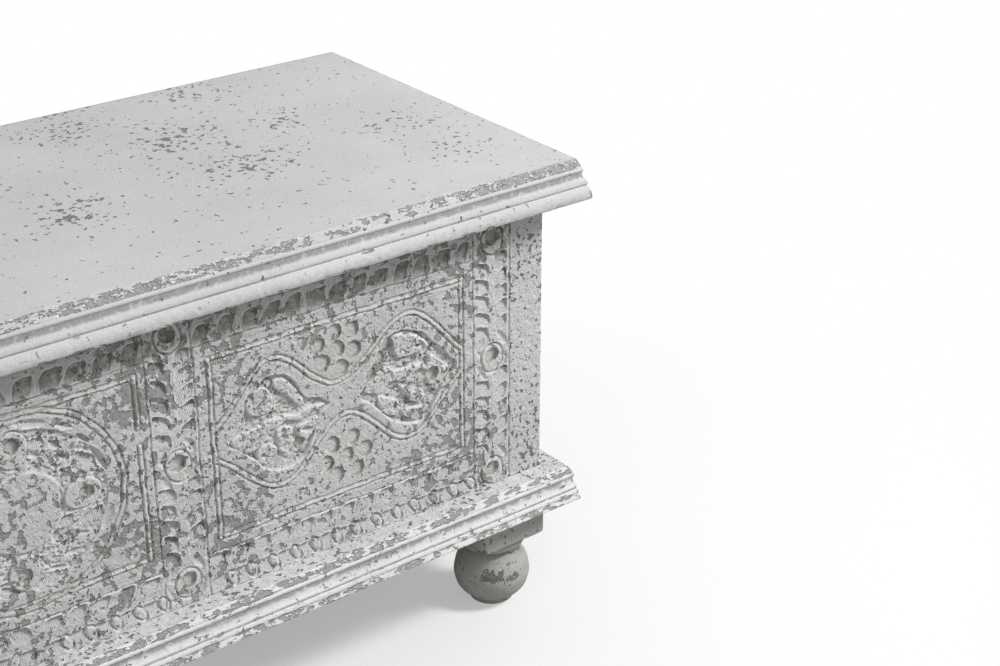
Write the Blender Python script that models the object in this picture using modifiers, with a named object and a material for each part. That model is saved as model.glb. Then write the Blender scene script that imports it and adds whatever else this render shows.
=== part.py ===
"""Storage chest: a boarded box with a hinged, moulded lid on turned feet.

Metres, +Z up. The front faces -Y. The origin is on the floor, under the middle of the
chest's outline. The lid's pieces hang on an empty that stands on the hinge axis.
"""

import math
from dataclasses import dataclass

import bmesh
import bpy
from mathutils import Vector

# Box, measured over its walls
BODY_WIDTH = 1.026
BODY_DEPTH = 0.347
FRONT_SHOW = 0.275  # front board in view, from the base moulding up to the lid's lip
WALL = 0.020
FLOOR_BOARD = 0.012
SUBFLOOR_HEIGHT = 0.024  # space under the floor board, filled at the corners by blocks
CLEAT_WIDTH = 0.020
CLEAT_HEIGHT = 0.020

# Lid
LID_BOARD = 0.0245
LID_BACK_OVERHANG = 0.0227
LIP_HEIGHT = 0.0127
LIP_RUNNING_GAP = 0.0025  # lip's inner face to the walls that it passes
BATTEN_WIDTH = 0.045
BATTEN_THICKNESS = 0.016
BATTEN_SPACING = 0.620
BATTEN_END_GAP = 0.012

# Lid board's edge, as reach out from the walls and drop below the lid's top
LID_ARRIS_REACH = 0.0205
LID_BEVEL_REACH = 0.0226
LID_BEVEL_DROP = 0.0052
LID_BEAD_FOOT_REACH = 0.0241
LID_BEAD_DROP = 0.0126
LID_BEAD_BULGE = 0.0011
LID_QUIRK = 0.0007
LID_COVE_REACH = 0.0281
LID_COVE_HOLLOW = 0.0005

# Lip strip's thumb moulding
LIP_NECK_REACH = 0.0274
LIP_FOOT_REACH = 0.0310
LIP_BULGE = 0.0022

# Base moulding
BASE_HEIGHT = 0.035
BASE_LEDGE_REACH = 0.0187
BASE_BEVEL_REACH = 0.0210
BASE_BEVEL_DROP = 0.0046
BASE_BEAD_FOOT_REACH = 0.0228
BASE_BEAD_DROP = 0.0160
BASE_BEAD_BULGE = 0.0009
BASE_QUIRK = 0.0007
BASE_COVE_REACH = 0.0262
BASE_COVE_DROP = 0.0250
BASE_COVE_HOLLOW = 0.0003
BASE_FOOT_REACH = 0.0277
BASE_THUMB_BULGE = 0.0007

# Feet, turned from square stock
FOOT_SQUARE = 0.076
FOOT_OUTSET = 0.0045  # block's outer faces proud of the walls
FOOT_BLOCK_HEIGHT = 0.0400
FOOT_TURNED_HEIGHT = 0.0745
COLLAR_RADIUS = 0.0335
COLLAR_HEIGHT = 0.0115
NECK_RADIUS = 0.024
BALL_RADIUS = 0.0372
BALL_CENTRE_HEIGHT = 0.0296
PAD_RADIUS = 0.0215
PAD_HEIGHT = 0.0045
DOWEL_RADIUS = 0.008
DOWEL_INSET = 0.0135  # dowel's axis in from the walls' inner faces
DOWEL_DEPTH_IN_FOOT = 0.026
DOWEL_DEPTH_IN_BLOCK = 0.018

# Butt hinges
HINGE_LENGTH = 0.075
HINGE_SPACING = 0.700
KNUCKLES = 5
LEAF_REACH = 0.0215
LEAF_THICKNESS = 0.0020
BARREL_RADIUS = 0.0045
PIN_RADIUS = 0.0020
PIN_HEAD_RADIUS = 0.0034
PIN_HEAD_HEIGHT = 0.0015

# Clearances and eased edges
FIT_GAP = 0.0003
BARREL_GAP = 0.0005
MORTISE_GAP = 0.0003
EASED_EDGE = 0.0008
FOOT_EDGE = 0.0020

# Facets
ARC_STEPS = 6
FOOT_STEPS = 28
BALL_POINTS = 11
ROUND_SIDES = 20

# Levels above the floor
BASE_BOTTOM = FOOT_TURNED_HEIGHT + FOOT_BLOCK_HEIGHT + FIT_GAP
BASE_TOP = BASE_BOTTOM + BASE_HEIGHT
LIP_BOTTOM = BASE_TOP + FRONT_SHOW
LIP_TOP = LIP_BOTTOM + LIP_HEIGHT
LID_UNDERSIDE = LIP_TOP + FIT_GAP
LID_TOP = LID_UNDERSIDE + LID_BOARD
WALL_TOP = LID_UNDERSIDE - FIT_GAP
SUBFLOOR_TOP = BASE_BOTTOM + SUBFLOOR_HEIGHT
FLOOR_BOTTOM = SUBFLOOR_TOP + FIT_GAP
FLOOR_TOP = FLOOR_BOTTOM + FLOOR_BOARD

# Planes of the box
HALF_WIDTH = BODY_WIDTH / 2
INSIDE_HALF_WIDTH = HALF_WIDTH - WALL
CORNER_BLOCK = FOOT_SQUARE - WALL - FIT_GAP


def arc_between(start, end, bulge, steps=ARC_STEPS):
    """Points after start, up to end, on an arc that stands bulge proud of its chord."""
    chord = Vector(end) - Vector(start)
    half = chord.length / 2
    along = chord.normalized()
    outward = Vector((along.y, -along.x))
    half_angle = 2 * math.atan(bulge / half)
    middle = (Vector(start) + Vector(end)) / 2
    points = []
    for step in range(1, steps + 1):
        angle = half_angle * (2 * step / steps - 1)
        run = half * math.sin(angle) / math.sin(half_angle)
        rise = half * (math.cos(angle) - math.cos(half_angle)) / math.sin(half_angle)
        points.append(tuple(middle + along * run + outward * rise))
    return points


def lid_edge_profile():
    """Lid board's edge from its top arris to its underside, as (reach, drop)."""
    arris = (LID_ARRIS_REACH, 0.0)
    bevel_foot = (LID_BEVEL_REACH, LID_BEVEL_DROP)
    bead_foot = (LID_BEAD_FOOT_REACH, LID_BEAD_DROP)
    cove_top = (LID_BEAD_FOOT_REACH, LID_BEAD_DROP + LID_QUIRK)
    cove_foot = (LID_COVE_REACH, LID_BOARD - LID_QUIRK)
    return (
        [arris, bevel_foot]
        + arc_between(bevel_foot, bead_foot, LID_BEAD_BULGE)
        + [cove_top]
        + arc_between(cove_top, cove_foot, -LID_COVE_HOLLOW)
        + [(LID_COVE_REACH, LID_BOARD)]
    )


def lip_profile():
    """Lip strip's section, closed along its inner face, as (reach, drop below its top)."""
    neck = (LIP_NECK_REACH, LID_QUIRK)
    foot = (LIP_FOOT_REACH, LIP_HEIGHT)
    return (
        [(LIP_RUNNING_GAP, 0.0), (LIP_NECK_REACH, 0.0), neck]
        + arc_between(neck, foot, LIP_BULGE)
        + [(LIP_RUNNING_GAP, LIP_HEIGHT)]
    )


def base_profile():
    """Base moulding's section, closed along the wall, as (reach, drop below its top)."""
    bevel_foot = (BASE_BEVEL_REACH, BASE_BEVEL_DROP)
    bead_foot = (BASE_BEAD_FOOT_REACH, BASE_BEAD_DROP)
    cove_top = (BASE_BEAD_FOOT_REACH, BASE_BEAD_DROP + BASE_QUIRK)
    cove_foot = (BASE_COVE_REACH, BASE_COVE_DROP)
    foot = (BASE_FOOT_REACH, BASE_HEIGHT)
    return (
        [(FIT_GAP, 0.0), (BASE_LEDGE_REACH, 0.0), bevel_foot]
        + arc_between(bevel_foot, bead_foot, BASE_BEAD_BULGE)
        + [cove_top]
        + arc_between(cove_top, cove_foot, -BASE_COVE_HOLLOW)
        + arc_between(cove_foot, foot, BASE_THUMB_BULGE)
        + [(FIT_GAP, BASE_HEIGHT)]
    )


LIP_REACH = max(reach for reach, drop in lip_profile())
FRONT_Y = LIP_REACH - (LIP_REACH + BODY_DEPTH + LID_BACK_OVERHANG) / 2
BACK_Y = FRONT_Y + BODY_DEPTH
LID_BACK_Y = BACK_Y + LID_BACK_OVERHANG
INSIDE_FRONT_Y = FRONT_Y + WALL
INSIDE_BACK_Y = BACK_Y - WALL
AXIS_Y = BACK_Y + BARREL_RADIUS + BARREL_GAP
AXIS_Z = LID_UNDERSIDE - FIT_GAP / 2
HINGE_AXIS = Vector((0.0, AXIS_Y, AXIS_Z))
ALONG_X = (0.0, math.pi / 2, 0.0)  # turns a shape that stands on Z to lie along X


@dataclass(frozen=True)
class Finish:
    """Colour and sheen of one kind of surface."""

    colour: tuple
    roughness: float
    metallic: float = 0.0


PAINT = Finish((0.50, 0.50, 0.48), 0.75)
BARE_WOOD = Finish((0.33, 0.21, 0.12), 0.70)
PLY = Finish((0.45, 0.33, 0.21), 0.75)
IRON = Finish((0.10, 0.09, 0.08), 0.55, 0.9)


class Workshop:
    """Collections and empties that the pieces are made in."""

    def __init__(self):
        """Empty the scene and make the collections and the two frames."""
        for old in list(bpy.data.objects):
            bpy.data.objects.remove(old)
        self.parts = self.collection("storage_chest")
        self.cutters = self.collection("storage_chest_cutters")
        self.chest_frame = self.empty("chest_frame", Vector((0.0, 0.0, 0.0)), None)
        self.lid_axis = self.empty("lid_axis", HINGE_AXIS, self.chest_frame)

    @staticmethod
    def collection(name):
        """A new collection in the scene."""
        made = bpy.data.collections.new(name)
        bpy.context.scene.collection.children.link(made)
        return made

    def empty(self, name, position, parent):
        """An empty that other objects are placed from."""
        made = bpy.data.objects.new(name, None)
        made.parent = parent
        made.location = position
        self.parts.objects.link(made)
        return made

    def piece(self, name, mesh, finish, position, on_lid=False):
        """A named sub-part with its own material, at a world position."""
        made = bpy.data.objects.new(name, mesh)
        made.parent = self.lid_axis if on_lid else self.chest_frame
        made.location = Vector(position) - (HINGE_AXIS if on_lid else Vector())
        material = bpy.data.materials.new(name)
        material.use_nodes = True
        shader = material.node_tree.nodes["Principled BSDF"]
        shader.inputs["Base Color"].default_value = (*finish.colour, 1.0)
        shader.inputs["Roughness"].default_value = finish.roughness
        shader.inputs["Metallic"].default_value = finish.metallic
        made.data.materials.append(material)
        self.parts.objects.link(made)
        return made

    def tool(self, name, mesh, position):
        """A shape that only cuts into, or is joined to, a sub-part."""
        made = bpy.data.objects.new(name, mesh)
        made.parent = self.chest_frame
        made.location = position
        made.hide_render = True
        made.display_type = "WIRE"
        self.cutters.objects.link(made)
        return made


def mesh_from(bm, name):
    """Finish a bmesh as a mesh with its faces outward."""
    bm.normal_update()
    bmesh.ops.recalc_face_normals(bm, faces=bm.faces)
    mesh = bpy.data.meshes.new(name)
    bm.to_mesh(mesh)
    bm.free()
    return mesh


def block_mesh(name, boxes):
    """One mesh of axis-aligned boxes, each given as (low corner, high corner)."""
    bm = bmesh.new()
    for low, high in boxes:
        low = Vector(low)
        high = Vector(high)
        made = bmesh.ops.create_cube(bm, size=1.0)["verts"]
        bmesh.ops.scale(bm, vec=high - low, verts=made)
        bmesh.ops.translate(bm, vec=(low + high) / 2, verts=made)
    return mesh_from(bm, name)


def peg_mesh(name, radius, bottom, top):
    """A cylinder along Z between two heights."""
    bm = bmesh.new()
    made = bmesh.ops.create_cone(
        bm, cap_ends=True, segments=ROUND_SIDES, radius1=radius, radius2=radius, depth=top - bottom
    )["verts"]
    bmesh.ops.translate(bm, vec=(0.0, 0.0, (bottom + top) / 2), verts=made)
    return mesh_from(bm, name)


def loft_mesh(name, rings):
    """A closed solid through rings of points, with a flat face over each end."""
    bm = bmesh.new()
    loops = [[bm.verts.new(point) for point in ring] for ring in rings]
    for lower, upper in zip(loops, loops[1:]):
        for index in range(len(lower)):
            following = (index + 1) % len(lower)
            bm.faces.new((lower[index], lower[following], upper[following], upper[index]))
    bm.faces.new(loops[0])
    bm.faces.new(loops[-1])
    return mesh_from(bm, name)


def outline_mesh(name, outline):
    """An open chain of edges in the XZ plane, to be turned about Z."""
    bm = bmesh.new()
    chain = [bm.verts.new((radius, 0.0, height)) for radius, height in outline]
    for upper, lower in zip(chain, chain[1:]):
        bm.edges.new((upper, lower))
    mesh = bpy.data.meshes.new(name)
    bm.to_mesh(mesh)
    bm.free()
    return mesh


def turn(made, steps):
    """Turn an object's outline, which starts and ends on the axis, about its Z axis."""
    screw = made.modifiers.new("turned", "SCREW")
    screw.axis = "Z"
    screw.steps = steps
    screw.render_steps = steps
    screw.use_merge_vertices = True
    screw.merge_threshold = 0.00001
    screw.use_smooth_shade = True
    return made


def ease(made, width):
    """Take a small chamfer off an object's edges."""
    bevel = made.modifiers.new("eased_edges", "BEVEL")
    bevel.width = width
    bevel.segments = 1
    bevel.limit_method = "ANGLE"
    return made


def combine(made, tool, operation):
    """Cut a tool out of an object, or join it on."""
    boolean = made.modifiers.new(tool.name, "BOOLEAN")
    boolean.operation = operation
    boolean.solver = "EXACT"
    boolean.object = tool
    return made


def board(shop, name, low, high, finish, on_lid=False, edge=EASED_EDGE):
    """A sawn board between two world corners, with eased edges."""
    low = Vector(low)
    high = Vector(high)
    half = (high - low) / 2
    made = shop.piece(name, block_mesh(name, [(-half, half)]), finish, (low + high) / 2, on_lid)
    return ease(made, edge)


def make_walls(shop):
    """Front and back boards over the full width, and the side boards between them."""
    board(
        shop,
        "front_panel",
        (-HALF_WIDTH, FRONT_Y, BASE_BOTTOM),
        (HALF_WIDTH, INSIDE_FRONT_Y, WALL_TOP),
        PAINT,
    )
    back = board(
        shop,
        "back_panel",
        (-HALF_WIDTH, INSIDE_BACK_Y, BASE_BOTTOM),
        (HALF_WIDTH, BACK_Y, WALL_TOP),
        PAINT,
    )
    for side, name in ((-1, "side_panel_left"), (1, "side_panel_right")):
        across = sorted((side * HALF_WIDTH, side * INSIDE_HALF_WIDTH))
        board(
            shop,
            name,
            (across[0], INSIDE_FRONT_Y + FIT_GAP, BASE_BOTTOM),
            (across[1], INSIDE_BACK_Y - FIT_GAP, WALL_TOP),
            PAINT,
        )
    return back


def make_floor(shop):
    """Floor board, and under it the cleats on the walls between the corner blocks."""
    board(
        shop,
        "floor_panel",
        (FIT_GAP - INSIDE_HALF_WIDTH, INSIDE_FRONT_Y + FIT_GAP, FLOOR_BOTTOM),
        (INSIDE_HALF_WIDTH - FIT_GAP, INSIDE_BACK_Y - FIT_GAP, FLOOR_TOP),
        PLY,
    )
    bottom = SUBFLOOR_TOP - CLEAT_HEIGHT
    block_end = FIT_GAP + CORNER_BLOCK + FIT_GAP
    along_x = INSIDE_HALF_WIDTH - block_end
    front_face = INSIDE_FRONT_Y + FIT_GAP
    back_face = INSIDE_BACK_Y - FIT_GAP
    for name, near, far in (
        ("floor_cleat_front", front_face, front_face + CLEAT_WIDTH),
        ("floor_cleat_back", back_face - CLEAT_WIDTH, back_face),
    ):
        board(shop, name, (-along_x, near, bottom), (along_x, far, SUBFLOOR_TOP), BARE_WOOD)
    for side, name in ((-1, "floor_cleat_left"), (1, "floor_cleat_right")):
        outer = side * (INSIDE_HALF_WIDTH - FIT_GAP)
        across = sorted((outer, outer - side * CLEAT_WIDTH))
        board(
            shop,
            name,
            (across[0], INSIDE_FRONT_Y + block_end, bottom),
            (across[1], INSIDE_BACK_Y - block_end, SUBFLOOR_TOP),
            BARE_WOOD,
        )


def foot_outline():
    """Turned part of a foot, from the axis inside its block down to the axis on the floor."""
    neck_height = FOOT_TURNED_HEIGHT - COLLAR_HEIGHT
    neck_angle = math.asin((neck_height - FOOT_EDGE - BALL_CENTRE_HEIGHT) / BALL_RADIUS)
    pad_angle = math.asin((PAD_HEIGHT - BALL_CENTRE_HEIGHT) / BALL_RADIUS)
    inside_block = FOOT_TURNED_HEIGHT + FOOT_BLOCK_HEIGHT / 4
    outline = [
        (0.0, inside_block),
        (NECK_RADIUS, inside_block),
        (NECK_RADIUS, FOOT_TURNED_HEIGHT + FOOT_EDGE),
        (COLLAR_RADIUS, FOOT_TURNED_HEIGHT + FOOT_EDGE),
        (COLLAR_RADIUS, neck_height + FOOT_EDGE),
        (COLLAR_RADIUS - FOOT_EDGE, neck_height),
    ]
    for point in range(BALL_POINTS + 1):
        angle = neck_angle + (pad_angle - neck_angle) * point / BALL_POINTS
        radius = BALL_RADIUS * math.cos(angle)
        outline.append((radius, BALL_CENTRE_HEIGHT + BALL_RADIUS * math.sin(angle)))
    return outline + [(PAD_RADIUS, PAD_HEIGHT), (PAD_RADIUS, 0.0), (0.0, 0.0)]


def make_corner(shop, name, side_x, side_y):
    """One foot, the block above it in the corner of the walls, and the dowel in both."""
    face_y = FRONT_Y if side_y < 0 else BACK_Y
    inside_y = INSIDE_FRONT_Y if side_y < 0 else INSIDE_BACK_Y
    axis_x = side_x * (HALF_WIDTH + FOOT_OUTSET - FOOT_SQUARE / 2)
    axis_y = face_y - side_y * (FOOT_SQUARE / 2 - FOOT_OUTSET)
    half = FOOT_SQUARE / 2

    foot = shop.piece(
        f"foot_{name}",
        block_mesh(
            f"foot_{name}",
            [
                (
                    (-half, -half, FOOT_TURNED_HEIGHT),
                    (half, half, FOOT_TURNED_HEIGHT + FOOT_BLOCK_HEIGHT),
                )
            ],
        ),
        PAINT,
        (axis_x, axis_y, 0.0),
    )
    ease(foot, FOOT_EDGE)
    turning = shop.tool(
        f"turning_{name}",
        outline_mesh(f"turning_{name}", foot_outline()),
        (axis_x, axis_y, 0.0),
    )
    combine(foot, turn(turning, FOOT_STEPS), "UNION")

    corner_x = side_x * (INSIDE_HALF_WIDTH - FIT_GAP)
    corner_y = inside_y - side_y * FIT_GAP
    across = sorted((corner_x, corner_x - side_x * CORNER_BLOCK))
    along = sorted((corner_y, corner_y - side_y * CORNER_BLOCK))
    block = board(
        shop,
        f"corner_block_{name}",
        (across[0], along[0], BASE_BOTTOM),
        (across[1], along[1], SUBFLOOR_TOP),
        BARE_WOOD,
    )

    dowel_x = side_x * (INSIDE_HALF_WIDTH - DOWEL_INSET)
    dowel_y = inside_y - side_y * DOWEL_INSET
    foot_top = FOOT_TURNED_HEIGHT + FOOT_BLOCK_HEIGHT
    dowel_bottom = foot_top - DOWEL_DEPTH_IN_FOOT
    dowel_top = BASE_BOTTOM + DOWEL_DEPTH_IN_BLOCK
    dowel = shop.piece(
        f"foot_dowel_{name}",
        peg_mesh(f"foot_dowel_{name}", DOWEL_RADIUS, dowel_bottom, dowel_top),
        BARE_WOOD,
        (dowel_x, dowel_y, 0.0),
    )
    ease(dowel, EASED_EDGE)
    bore = shop.tool(
        f"dowel_bore_{name}",
        peg_mesh(
            f"dowel_bore_{name}",
            DOWEL_RADIUS + FIT_GAP,
            dowel_bottom - FIT_GAP,
            dowel_top + FIT_GAP,
        ),
        (dowel_x, dowel_y, 0.0),
    )
    combine(foot, bore, "DIFFERENCE")
    combine(block, bore, "DIFFERENCE")


def moulding(shop, name, section, half_length, mitres, turned, position, on_lid):
    """A moulded strip: its section run along local X, cut square or to a mitre at each end.

    The section is (reach out from the wall, drop below the strip's top). A mitred end leans
    out with the reach, less half of the gap that it keeps from its neighbour.
    """
    rings = []
    for end, mitre in zip((-1, 1), mitres):
        stretch = [half_length + mitre * (reach - FIT_GAP) for reach, drop in section]
        rings.append(
            [
                (end * length, reach, -drop)
                for length, (reach, drop) in zip(stretch, section)
            ]
        )
    made = shop.piece(name, loft_mesh(name, rings), PAINT, position, on_lid)
    made.rotation_euler = (0.0, 0.0, turned)
    return made


def make_moulding_set(shop, name, section, top, back_y, on_lid):
    """Front strip and two side strips that meet it in mitres and end square at the back."""
    half_depth = (back_y - FRONT_Y) / 2
    middle_y = (back_y + FRONT_Y) / 2
    right_angle = math.pi / 2
    for side, half_length, mitres, turned, position in (
        ("front", HALF_WIDTH, (1, 1), math.pi, (0.0, FRONT_Y, top)),
        ("right", half_depth, (0, 1), -right_angle, (HALF_WIDTH, middle_y, top)),
        ("left", half_depth, (1, 0), right_angle, (-HALF_WIDTH, middle_y, top)),
    ):
        moulding(shop, f"{name}_{side}", section, half_length, mitres, turned, position, on_lid)


def make_lid(shop):
    """Lid board with its edge moulded on three sides, its lip strips and its battens."""
    rings = []
    for reach, drop in lid_edge_profile():
        right = HALF_WIDTH + reach
        front = FRONT_Y - reach
        height = LID_TOP - drop
        rings.append(
            [
                Vector((-right, front, height)) - HINGE_AXIS,
                Vector((right, front, height)) - HINGE_AXIS,
                Vector((right, LID_BACK_Y, height)) - HINGE_AXIS,
                Vector((-right, LID_BACK_Y, height)) - HINGE_AXIS,
            ]
        )
    lid = shop.piece("lid_board", loft_mesh("lid_board", rings), PAINT, HINGE_AXIS, on_lid=True)
    make_moulding_set(shop, "lid_lip", lip_profile(), LIP_TOP, LID_BACK_Y, on_lid=True)

    top = LID_UNDERSIDE - FIT_GAP
    for side, name in ((-1, "lid_batten_left"), (1, "lid_batten_right")):
        middle = side * BATTEN_SPACING / 2
        board(
            shop,
            name,
            (middle - BATTEN_WIDTH / 2, INSIDE_FRONT_Y + BATTEN_END_GAP, top - BATTEN_THICKNESS),
            (middle + BATTEN_WIDTH / 2, INSIDE_BACK_Y - BATTEN_END_GAP, top),
            BARE_WOOD,
            on_lid=True,
        )
    return lid


def knuckle_spans(first):
    """Every second knuckle of the barrel from the given one, as (start, end) along X."""
    pitch = HINGE_LENGTH / KNUCKLES
    spans = []
    for index in range(first, KNUCKLES, 2):
        start = index * pitch - HINGE_LENGTH / 2
        spans.append((start, start + pitch))
    return spans


def hinge_leaf(shop, name, position, face, others, on_lid):
    """One leaf: plate and barrel, with the other leaf's knuckles and the pin's bore cut away.

    Face is -1 for the leaf on the wall's top and 1 for the leaf on the lid's underside.
    """
    inner = face * FIT_GAP
    outer = face * (FIT_GAP + LEAF_THICKNESS)
    heights = sorted((inner, outer))
    half = HINGE_LENGTH / 2
    leaf = shop.piece(
        name,
        block_mesh(name, [((-half, -LEAF_REACH, heights[0]), (half, 0.0, heights[1]))]),
        IRON,
        position,
        on_lid,
    )
    barrel = shop.tool(
        f"barrel_{name}", peg_mesh(f"barrel_{name}", BARREL_RADIUS, -half, half), position
    )
    barrel.rotation_euler = ALONG_X
    clear = BARREL_RADIUS + BARREL_GAP
    slots = [
        ((start - FIT_GAP, -clear, -clear), (end + FIT_GAP, clear, clear)) for start, end in others
    ]
    slot = shop.tool(f"knuckle_slots_{name}", block_mesh(f"knuckle_slots_{name}", slots), position)
    bore = shop.tool(
        f"pin_bore_{name}",
        peg_mesh(f"pin_bore_{name}", PIN_RADIUS + FIT_GAP, -HINGE_LENGTH, HINGE_LENGTH),
        position,
    )
    bore.rotation_euler = ALONG_X
    combine(leaf, barrel, "UNION")
    combine(leaf, slot, "DIFFERENCE")
    combine(leaf, bore, "DIFFERENCE")
    return leaf


def pin_outline():
    """Hinge pin from its top head to its bottom head."""
    head = HINGE_LENGTH / 2 + FIT_GAP
    tip = head + PIN_HEAD_HEIGHT
    return [
        (0.0, tip),
        (PIN_HEAD_RADIUS, tip),
        (PIN_HEAD_RADIUS, head),
        (PIN_RADIUS, head),
        (PIN_RADIUS, -head),
        (PIN_HEAD_RADIUS, -head),
        (PIN_HEAD_RADIUS, -tip),
        (0.0, -tip),
    ]


def make_hinges(shop, back_panel, lid_board):
    """Two butt hinges let into the back wall's top and the lid's underside."""
    wall_mortises = []
    lid_mortises = []
    barrel_pockets = []
    half = HINGE_LENGTH / 2 + MORTISE_GAP
    pocket_half = HINGE_LENGTH / 2 + PIN_HEAD_HEIGHT + 2 * FIT_GAP
    depth = FIT_GAP + LEAF_THICKNESS + MORTISE_GAP
    inner_end = -(LEAF_REACH + MORTISE_GAP)
    pocket = BARREL_RADIUS + BARREL_GAP
    for side, name in ((-1, "left"), (1, "right")):
        middle = side * HINGE_SPACING / 2
        position = HINGE_AXIS + Vector((middle, 0.0, 0.0))
        hinge_leaf(
            shop, f"hinge_body_leaf_{name}", position, -1, knuckle_spans(1), on_lid=False
        )
        hinge_leaf(shop, f"hinge_lid_leaf_{name}", position, 1, knuckle_spans(0), on_lid=True)
        pin = shop.piece(
            f"hinge_pin_{name}",
            outline_mesh(f"hinge_pin_{name}", pin_outline()),
            IRON,
            position,
        )
        turn(pin, ROUND_SIDES)
        pin.rotation_euler = ALONG_X
        wall_mortises.append(
            ((middle - half, inner_end, -depth), (middle + half, pocket, LEAF_THICKNESS))
        )
        lid_mortises.append(
            ((middle - half, inner_end, -LEAF_THICKNESS), (middle + half, 0.0, depth))
        )
        barrel_pockets.append(
            ((middle - pocket_half, -pocket, -pocket), (middle + pocket_half, pocket, pocket))
        )
    for name, boxes, target in (
        ("wall_mortises", wall_mortises, back_panel),
        ("lid_mortises", lid_mortises, lid_board),
        ("barrel_pockets", barrel_pockets, lid_board),
    ):
        combine(target, shop.tool(name, block_mesh(name, boxes), HINGE_AXIS), "DIFFERENCE")


def main():
    """Build the chest from the feet up."""
    shop = Workshop()
    back_panel = make_walls(shop)
    make_floor(shop)
    for side_x, word_x in ((-1, "left"), (1, "right")):
        for side_y, word_y in ((-1, "front"), (1, "back")):
            make_corner(shop, f"{word_y}_{word_x}", side_x, side_y)
    make_moulding_set(shop, "base_moulding", base_profile(), BASE_TOP, BACK_Y, on_lid=False)
    lid_board = make_lid(shop)
    make_hinges(shop, back_panel, lid_board)


main()
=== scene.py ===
"""Carved storage chest: the visual model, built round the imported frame.

Sizes are metres in the frame's axes: +X to the right seen from the front, +Y to the back, +Z up.
The carving is worked out in millimetres on the front board's own face, u along it and v up it.
"""

import logging
import math
from dataclasses import dataclass
from enum import Enum

import bpy
import numpy as np
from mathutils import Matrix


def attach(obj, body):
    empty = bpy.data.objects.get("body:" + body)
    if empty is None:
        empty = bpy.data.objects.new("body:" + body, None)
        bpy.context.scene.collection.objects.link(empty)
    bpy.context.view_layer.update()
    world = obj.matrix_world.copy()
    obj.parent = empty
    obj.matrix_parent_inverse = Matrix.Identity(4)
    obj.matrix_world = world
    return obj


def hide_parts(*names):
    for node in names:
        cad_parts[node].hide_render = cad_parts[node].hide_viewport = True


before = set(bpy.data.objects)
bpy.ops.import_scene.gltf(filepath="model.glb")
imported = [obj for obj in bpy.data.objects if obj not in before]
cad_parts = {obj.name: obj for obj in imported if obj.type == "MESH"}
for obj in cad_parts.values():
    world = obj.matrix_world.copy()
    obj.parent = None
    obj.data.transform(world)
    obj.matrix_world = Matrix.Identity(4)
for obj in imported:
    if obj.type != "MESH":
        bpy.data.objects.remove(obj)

Array = np.ndarray
Colour = tuple[float, float, float]
Pair = tuple[float, float]
Triple = tuple[float, float, float]
Window = tuple[slice, slice]
Material = bpy.types.Material
Rng = np.random.Generator
Socket = bpy.types.NodeSocket

MM = 0.001
log = logging.getLogger("carved_chest")

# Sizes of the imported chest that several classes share, m
HALF_WIDTH = 0.513  # half width over the walls
FRONT_FACE = -0.168996  # y of the front wall's face
LID_BACK = 0.200704  # y of the lid's back edge
BASE_TOP = 0.1498  # height of the base moulding's top
HINGE_AXIS = (0.183004, 0.43765)  # y and z of the lid's hinge
HINGE_PLACE = 0.350  # each hinge's distance from the middle

MEMBER_STEP = 0.00042  # spacing of the points round a moulding's members, m
LIP_STEP = 0.0006  # the same on the plainer lip, m
FOOT_STEP = 0.0010  # the same on a turned foot, m
SHARP_ANGLE = math.radians(48)  # an edge sharper than this is not smoothed
MIX_COLOURS = (6, 7)  # the Mix node's inputs for two colours
MIXED_COLOUR = 2  # the Mix node's output for a colour


class Body(Enum):
    """The two bodies that pieces ride on."""

    CHEST = "chest"
    LID = "lid"


class Slot(Enum):
    """The record's material slots, named when each new piece is made."""

    PAINT = "distressed_paint"
    FOOT = "foot_paint"
    IRON = "hinge_iron"


class Run(Enum):
    """Which edge of the chest a moulded strip runs along."""

    FRONT = "front"
    LEFT = "left"
    RIGHT = "right"


class BareSide(Enum):
    """Which face of a board was left unpainted, as axis, direction and limit in metres."""

    NONE = (0, 0.0, 0.0)
    FACING_RIGHT = (0, 1.0, -0.4936)
    FACING_LEFT = (0, -1.0, -0.4936)
    FACING_FRONT = (1, -1.0, -0.1586)


# Numbers


def eased(share: Array) -> Array:
    """Smooth step from 0 to 1 of a share that is held between them."""
    held = np.clip(share, 0.0, 1.0)
    return held * held * (3.0 - 2.0 * held)


def drift(u: Array, v: Array, cell: float, rng: Rng) -> Array:
    """Smooth random field between -1 and 1.

    Each corner of a square lattice has a random height, and a point takes its four corners'
    heights in shares that follow a smooth step along u and v.

    Args:
        u: places along the first direction.
        v: places along the second direction, broadcast against u.
        cell: lattice spacing, in the units of u and v.
        rng: source of the lattice heights.

    Returns:
        Heights in the broadcast shape.
    """
    u, v = np.broadcast_arrays(np.asarray(u) / cell, np.asarray(v) / cell)
    base_u, base_v = math.floor(u.min()), math.floor(v.min())
    lattice = rng.uniform(-1.0, 1.0, (int(v.max() - base_v) + 3, int(u.max() - base_u) + 3))
    col = np.floor(u).astype(int) - base_u
    row = np.floor(v).astype(int) - base_v
    part_u = eased(u - np.floor(u))
    part_v = eased(v - np.floor(v))
    lower = lattice[row, col] * (1 - part_u) + lattice[row, col + 1] * part_u
    upper = lattice[row + 1, col] * (1 - part_u) + lattice[row + 1, col + 1] * part_u
    return lower * (1 - part_v) + upper * part_v


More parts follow.
